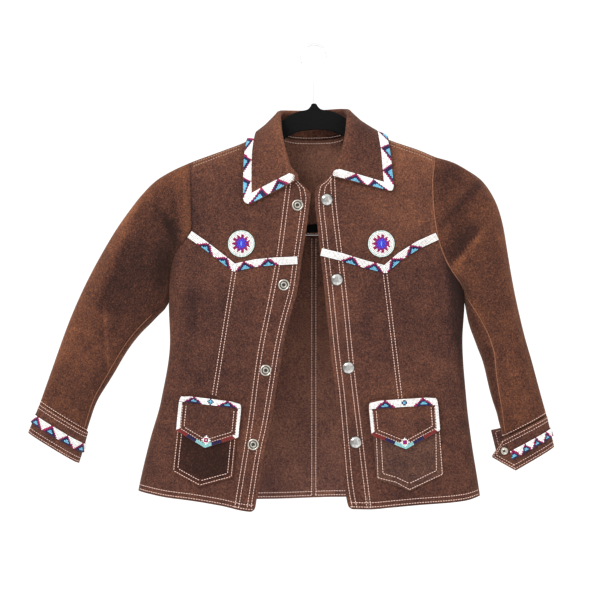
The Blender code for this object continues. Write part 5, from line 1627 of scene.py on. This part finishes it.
def edging_beads(side, lift):
    """White at a flap's sides, then red and blue, and green at its point."""
    corner = lengths(flap_outline(side, 0.5 + ROLL_WIDE / 2, FLAP_BEADS[side] + 1.0)[BY_POINT])

    def pattern(s, v, long):
        down = np.clip((s - corner[1]) / (corner[2] - corner[1]), 0, 1)
        up = np.clip((corner[3] - s) / (corner[3] - corner[2]), 0, 1)
        near = np.where(s < corner[2], down, up)
        colour = np.where(near > 0.05, SCARLET, WHITE)
        colour = np.where(near > 0.44, NAVY, colour)
        return np.where(near > 0.74, MINT, colour)

    band(f"beads_edging_{side}", flap_roll(side, lift), FRONT, pattern,
         [f"flap_edging_{side}"], columns=3, pitch=1.7, lift=0.75)


def make_beads():
    grid = collar_rounded(collar_band())
    band("beads_collar", grid, FRONT, collar_pattern(grid[1]), ["collar_band"], columns=7, ends=5.6)
    on_flap = 3 * LAID + 2 * SUEDE + 0.4
    for side in SIDES:
        yoke_beads(side)
        cuff_beads(side)
        flap_beads(side, on_flap)
        edging_beads(side, on_flap)
        gem_beads(side, on_flap)
        rosette(side)


GEM_PITCH = 1.62
ROSETTE_RINGS = 10
ROSETTE_PITCH = 1.74    # from one ring of beads to the next


def gem_beads(side, lift):
    """The small diamond of beads over a flap's point."""
    flap = np.array(SIDES[side]["flap"], float)
    centre = flap[3] + {"left": (1.6, 9.8), "right": (-1.4, 8.9)}[side]
    along = unit(flap[2] - flap[4])
    up = np.array([-along[1], along[0]])
    cells = [(i, j) for i in range(-3, 4) for j in range(-3, 4) if abs(i) + abs(j) <= 3]
    xz = np.array([centre + GEM_PITCH * i * along + GEM_PITCH * j * up for i, j in cells])
    middle = {"left": PALE, "right": VIOLET}[side]
    colours = [WHITE if max(abs(i), abs(j)) > 1 else MAGENTA if abs(i) + abs(j) else middle
               for i, j in cells]
    normal = on_body(xz, -1, 1.0) - on_body(xz, -1)
    across = np.tile((up[0], 0.0, up[1]), (len(cells), 1))
    beads(f"beads_gem_{side}", on_body(xz, -1, lift + 0.9), across, normal, colours, [])


def rosette(side):
    """Rings of beads round a centre: a blue middle, a star and a pale rim."""
    centre = np.array(SIDES[side]["rosette"], float)
    point, normal = surface_frame(*centre, -1, LAID)
    u = unit(np.cross(normal, [0, 0, 1.0]))
    w = np.cross(u, normal)
    points, across, colours = [], [], []
    for k in range(ROSETTE_RINGS):
        radius = ROSETTE_PITCH * k
        count = max(1, int(round(2 * math.pi * radius / 1.72)))
        dome = 0.9 + 1.0 * (1 - (k / 9.5) ** 2)
        for i in range(count):
            a = (i + 0.5 * (k % 2)) / count * 2 * math.pi
            out = math.cos(a) * u + math.sin(a) * w
            points.append(point + radius * out + dome * normal)
            across.append(math.cos(a) * w - math.sin(a) * u)
            star = abs(((a / (2 * math.pi) * 11) % 1) - 0.5) * 2
            arm = abs(((a / (2 * math.pi) * 4) % 1) - 0.5) * 2 > 0.5
            if k == 0 or (k == 1 and arm):
                colours.append(SKY)
            elif k <= 2:
                colours.append(COBALT)
            elif k == 3:
                colours.append(COBALT if i % 2 else VIOLET)
            elif k == 4 or (k == 5 and star > 0.3) or (k == 6 and star > 0.62):
                colours.append(VIOLET if k == 4 and i % 2 else MAGENTA)
            else:
                colours.append(PALE if k >= 9 else WHITE)
    points, across = np.array(points), np.array(across)
    beads(f"beads_rosette_{side}", points, across, normal + 0 * points, colours,
          [f"rosette_{side}"])


# The right pocket's rows of stitching, and those that close its right side
POCKET_ROWS = [
    table("x z", [(75.0, -448), (78.3, -536.2), (99.5, -541.5), (116.8, -551), (157.3, -533)]),
    table("x z", [(79.6, -448), (84.3, -531.2), (100, -535.6), (116.8, -543.6), (150, -528.3)]),
]
POCKET_SIDES = [
    table("x z", [(157.3, -533), (153.6, -478), (150.0, -446)]),
    table("x z", [(150, -528.3), (149.4, -483), (146.4, -446)]),
]


def welts(name, paths, look, thick, high=0.6):
    """Seams that stand up a little: one soft strand along each path of points and normals."""
    verts, faces, start = [], [], 0
    turn = np.arange(6) / 6 * 2 * math.pi
    for points, normals in paths:
        along = unit(np.gradient(points, axis=0))
        up = unit(normals - (normals * along).sum(-1, keepdims=True) * along)
        side = np.cross(along, up)
        number = np.arange(len(points))
        size = thick * np.minimum(1, np.minimum(number, number[::-1]) / 3 + 0.2)
        ring = (np.cos(turn)[None, :, None] * high * up[:, None]
                + np.sin(turn)[None, :, None] * side[:, None])
        verts.append((points[:, None] + size[:, None, None] * ring).reshape(-1, 3))
        faces.append(start + tube_faces(len(points), 6))
        start += 6 * len(points)
    show(place_mesh(name, np.concatenate(verts), np.concatenate(faces), [look]), "suede_trim")


def sleeve_line(side, rings, degrees, count=70):
    """Points and normals along a line on a sleeve, given at a few rings."""
    ring = np.linspace(rings[0], rings[-1], count)
    angle = np.radians(np.interp(ring, rings, degrees))
    point = np.array([sleeve_point(side, r, a) for r, a in zip(ring, angle)]).reshape(-1, 3)
    around = np.linspace(0, 2 * math.pi, 12, endpoint=False)
    middle = np.array([sleeve_point(side, r, around).mean(0) for r in ring])
    return point, point - middle


def make_welts():
    arm_top = SIDES["right"]["shoulder"][1] - 3
    paths = [on_face(seam_path("right", "armhole", arm_top, -306, -0.6, 60), -1, 0.3)]
    for side, rings, degrees in (
            ("left", (2.5, 4.0, 8.0, 14.0), (150, 150, 146, 150)),
            ("right", (1.6, 5.5, 8.6, 12.9, 14.0), (142, 128, 119, 141, 150))):
        paths.append(sleeve_line(side, np.array(rings), np.array(degrees)))
    welts("welts", paths, WELT, 0.95)
    seam = pairs(0.0, plain_line(BACK_YOKE_Z - 1, float(hem_z(1, 0.0)) + 1.5, 60))
    welts("seam_tape", [on_face(seam, 1, -SUEDE - 0.1)], SUEDE_DEEP, 1.9, 0.15)


def body_stitches():
    rows, inside, faint = [], [], []
    for face, path in ROWS:
        if face == "faint":
            faint.append(on_face(path, -1, 0.15))
            continue
        rows.append(on_face(path, face, 0.15))
        if face > 0:
            inside.append(on_face(path, face, -SUEDE - 0.15))
    stitches("stitching_body", rows, THREAD)
    stitches("stitching_inside", inside, THREAD_BRIGHT, thick=0.5)
    stitches("stitching_armholes", faint, THREAD_RUST)


def straight(path, lift):
    """Rows on the front, one for each straight stretch of a path."""
    path = np.array(path, float)
    return [on_face(path[i:i + 2], -1, lift) for i in range(len(path) - 1)]


def pocket_stitches():
    rows = []
    on_pocket, on_flap = LAID + SUEDE + 0.75, 2 * LAID + 2 * SUEDE + 0.95
    for side in SIDES:
        if side == "right":
            for row in POCKET_ROWS:
                rows += straight(pairs(row["x"], row["z"]), on_pocket)
        else:
            for inset in (2.2, 7.0):
                rows += straight(flap_outline(side, inset, -2, "pocket")[BY_POINT], on_pocket)
        for inset in (5.2, 9.2):
            rows += straight(flap_outline(side, inset, 12)[BY_POINT], on_flap)
    for row in POCKET_SIDES:
        rows += straight(pairs(row["x"], row["z"]), on_pocket)
    stitches("stitching_pockets", rows, THREAD)


def cuff_row(point_at, share, along, lift, rise=0.0):
    """A row's points on a cuff and the way that its face looks there."""
    normal = point_at(share, along, rise + 1.0) - point_at(share, along, rise)
    return point_at(share, along, rise + lift), normal if lift > 0 else -normal


def cuff_stitches():
    rows = []
    angle, along = np.radians(np.linspace(-84, 236, 90)), np.linspace(0.10, 0.97, 90)
    for share in (0.05, 0.15, 0.83, 0.94):
        rows.append(cuff_row(left_cuff_point, share, angle, 0.2, left_cuff_rise(angle)))
        rows.append(cuff_row(right_cuff_point, share, along, 0.2))
    for near, top, bottom in ((0.014, 0.06, 0.94), (0.036, 0.16, 0.84)):
        share = np.linspace(top, bottom, 21)
        rows.append(cuff_row(right_cuff_point, share, near + cuff_notch(share), 0.2))
    for share, along in ((np.linspace(0.07, 0.8, 21), 0.972), (0.07, np.linspace(0.86, 0.972, 21))):
        rows.append(cuff_row(right_cuff_point, share, along, -DOUBLED - 0.2))
    stitches("stitching_cuffs", rows, THREAD, thick=0.33)


def make_stitches():
    body_stitches()
    pocket_stitches()
    cuff_stitches()
    rows = []
    for side in SIDES:
        last = len(SLEEVES[side]["ox"]) - 1
        point = sleeve_point(side, last - 0.09, np.linspace(0, 2 * math.pi, 90))
        away = point - point.mean(0)
        rows.append((point + 0.2 * unit(away), away))
    stitches("stitching_sleeves", rows, THREAD)
    point = collar_stand(np.linspace(5.4, 12.6, 60), np.full(60, 0.05))
    inward = unit(np.array([0, -4.0, -100.0]) - point) * (1, 1, 0)
    stitches("stitching_neck", [(point + 0.15 * inward, inward)], THREAD_BRIGHT, thick=0.5)
    make_welts()


# The pieces of a snap, each with its profile of radius and height, its look and its steps round
SOCKET = [
    ("socket", [(6.6, 0), (7.3, 0.4), (7.2, 1.3), (6.6, 2.1), (5.9, 2.4), (5.3, 2.1), (5.0, 1.5),
                (4.4, 1.4), (3.9, 1.9), (3.3, 2.6), (2.6, 2.7), (2.1, 2.2), (1.9, 1.2), (1.9, 0.4)],
     METAL, 48),
    # a dark disc that closes the socket's eye: painted shade in its hole
    ("socket_eye", [(2.0, 0.8), (0.0, 0.8)], SOCKET_HOLE_SHADE, 16),
    ("socket_ring", [(5.1, 1.6), (4.6, 1.55), (4.0, 1.9)], RING_AND_RIM_SHADE, 48),
]
CAP = [
    ("cap", [(6.9, 0), (7.3, 0.4), (7.3, 0.9), (7.0, 1.5), (6.3, 2.2), (5.2, 2.8), (3.6, 3.3),
             (1.8, 3.6), (0, 3.7)], CAP_METAL, 48),
    # a dark ring round the cap's foot: painted shade where it meets the suede
    ("cap_rim", [(7.2, 0), (7.8, 0.1), (7.8, 0.7), (7.3, 1.0)], RING_AND_RIM_SHADE, 48),
]
CUFF_SOCKET = [
    ("socket", [(4.5, 0), (4.9, 0.5), (4.6, 1.3), (3.9, 1.9), (3.1, 1.7), (2.7, 1.2), (2.2, 1.5),
                (1.7, 1.6), (1.4, 1.0), (1.4, 0.3)], METAL, 48),
    # a dark disc that closes the socket's eye: painted shade in its hole
    ("socket_eye", [(1.7, 0.6), (0.0, 0.6)], SOCKET_HOLE_SHADE, 16),
]


def snap(pieces, number, place, normal, node):
    """One snap, whose first piece takes the place of the plain solid."""
    nodes = [node]
    for name, profile, look, steps in pieces:
        lathe(f"{name}_{number}", profile, place, normal, look, nodes, steps)
        nodes = []


def make_metal():
    for side, pieces in (("left", SOCKET), ("right", CAP)):
        for i, at in enumerate(rows_of(SIDES[side]["snaps"]), 1):
            place, normal = surface_frame(at["x"], at["z"], -1, 0.1)
            snap(pieces, i, place, normal, f"snap_{side}_{i}")
    place = right_cuff_point(*RIGHT_CUFF_SNAP, 0.1)
    normal = unit(place - right_cuff_point(*RIGHT_CUFF_SNAP, 0.0))
    snap(CUFF_SOCKET, "cuff", place, normal, "snap_cuff_right")


HANGER_ROUND = 1.1      # rounding of the hanger's edges
HOOK_SHANK = table("x z", [
    (0, HANGER_TOP["z"][0] + 0.1), (0, -58), (0, -48), (1.2, -42), (5, -35), (10.0, -29)])
HOOK_ARC = (-26, 205)   # degrees that the hook goes round
HOOK_TIP = 1.7          # length over which its end is rounded


def make_hanger():
    turn = math.radians(HANGER_TILT)
    tilt = np.array([[math.cos(turn), -math.sin(turn)], [math.sin(turn), math.cos(turn)]])
    pivot = np.array([0, HANGER_TOP["z"][0]])
    curve = bpy.data.curves.new("flocked_hanger", "CURVE")
    curve.dimensions = "2D"
    curve.fill_mode = "BOTH"
    curve.extrude = (HANGER_THICK / 2 - HANGER_ROUND) * MM
    curve.bevel_depth = HANGER_ROUND * MM
    curve.bevel_resolution = 3
    curve.offset = -HANGER_ROUND * MM
    for rows, low in ((HANGER_TOP, HANGER_BAR[1]), (HANGER_HOLE, HANGER_BAR[0])):
        number = np.arange(len(rows["x"]), dtype=float)
        fine = np.linspace(0, number[-1], 6 * len(number) - 5)
        half = pairs(smooth(number, rows["x"], fine), smooth(number, rows["z"], fine))
        floor = pairs(plain_line(half[-1, 0], -half[-1, 0], 8), low)[1:-1]
        outline = np.concatenate([half, floor, half[:0:-1] * (-1, 1)])
        outline = (outline - pivot) @ tilt.T + pivot
        spline = curve.splines.new("POLY")
        spline.points.add(len(outline) - 1)
        for point, (x, z) in zip(spline.points, outline * MM):
            point.co = (x, z, 0, 1)
        spline.use_cyclic_u = True
    curve.materials.append(VELVET)
    obj = linked("flocked_hanger", curve)
    obj.rotation_euler = (math.pi / 2, 0, 0)
    show(obj, "hanger_black", "hanger")


def make_hook():
    centre = np.array([0.0, -(HOOK_RADIUS - WIRE / 2)])
    around = np.radians(np.linspace(*HOOK_ARC, 60))
    arc = centre + HOOK_RADIUS * np.stack([np.cos(around), np.sin(around)], -1)
    points = np.concatenate([pairs(HOOK_SHANK["x"], HOOK_SHANK["z"]), arc])
    mile = lengths(points)
    s = np.linspace(0, mile[-1], 120)
    points = np.stack([smooth(mile, points[:, k], s) for k in range(2)], -1)
    curve = bpy.data.curves.new("wire_hook", "CURVE")
    curve.dimensions = "3D"
    curve.bevel_depth = WIRE / 2 * MM
    curve.bevel_resolution = 5
    curve.use_fill_caps = True
    spline = curve.splines.new("POLY")
    spline.points.add(len(points) - 1)
    for point, (x, z), left in zip(spline.points, points * MM, mile[-1] - s):
        point.co = (x, 0, z, 1)
        point.radius = min(1.0, math.sqrt(max(0.05, 1 - (1 - min(left / HOOK_TIP, 1)) ** 2)))
    curve.materials.append(CHROME)
    show(linked("wire_hook", curve), "hook_steel", "hanger_hook")


def make_studio():
    scene = bpy.context.scene
    camera = linked("camera", bpy.data.cameras.new("camera"))
    camera.data.sensor_width = 36
    camera.data.lens = 124.8
    camera.data.clip_end = 60
    camera.location = (-0.0175, -2.6, -0.318)
    camera.rotation_euler = (math.pi / 2, 0, 0)
    scene.camera = camera
    for name, place, aim, wide, power in (("key", (-1.3, -1.9, 1.2), (0, 0, -0.3), 1.0, 40),
                                          ("fill", (1.6, -1.9, 0.2), (0, 0, -0.35), 1.8, 9)):
        lamp = linked(name, bpy.data.lights.new(name, "AREA"))
        lamp.data.size = wide
        lamp.data.energy = power
        lamp.location = place
        lamp.rotation_euler = (Vector(aim) - Vector(place)).to_track_quat("-Z", "Y").to_euler()
    scene.world = scene.world or bpy.data.worlds.new("world")
    scene.world.use_nodes = True
    dial(scene.world.node_tree.nodes["Background"], {"Color": (1, 1, 1, 1), "Strength": 1.12})
    scene.view_settings.view_transform = "Standard"
    bpy.ops.mesh.primitive_plane_add(size=60, location=(0, 0, -1.35))
    floor = bpy.context.object
    floor.name = "floor"
    look, _, shader = shader_of("floor")
    dial(shader, {"Base Color": (0.9, 0.9, 0.9, 1), "Roughness": 0.9,
                  "Emission Color": (1, 1, 1, 1), "Emission Strength": 0.12})
    floor.data.materials.append(look)


make_cloth()
make_beads()
make_stitches()
make_metal()
make_hanger()
make_hook()
make_studio()
bpy.context.view_layer.update()
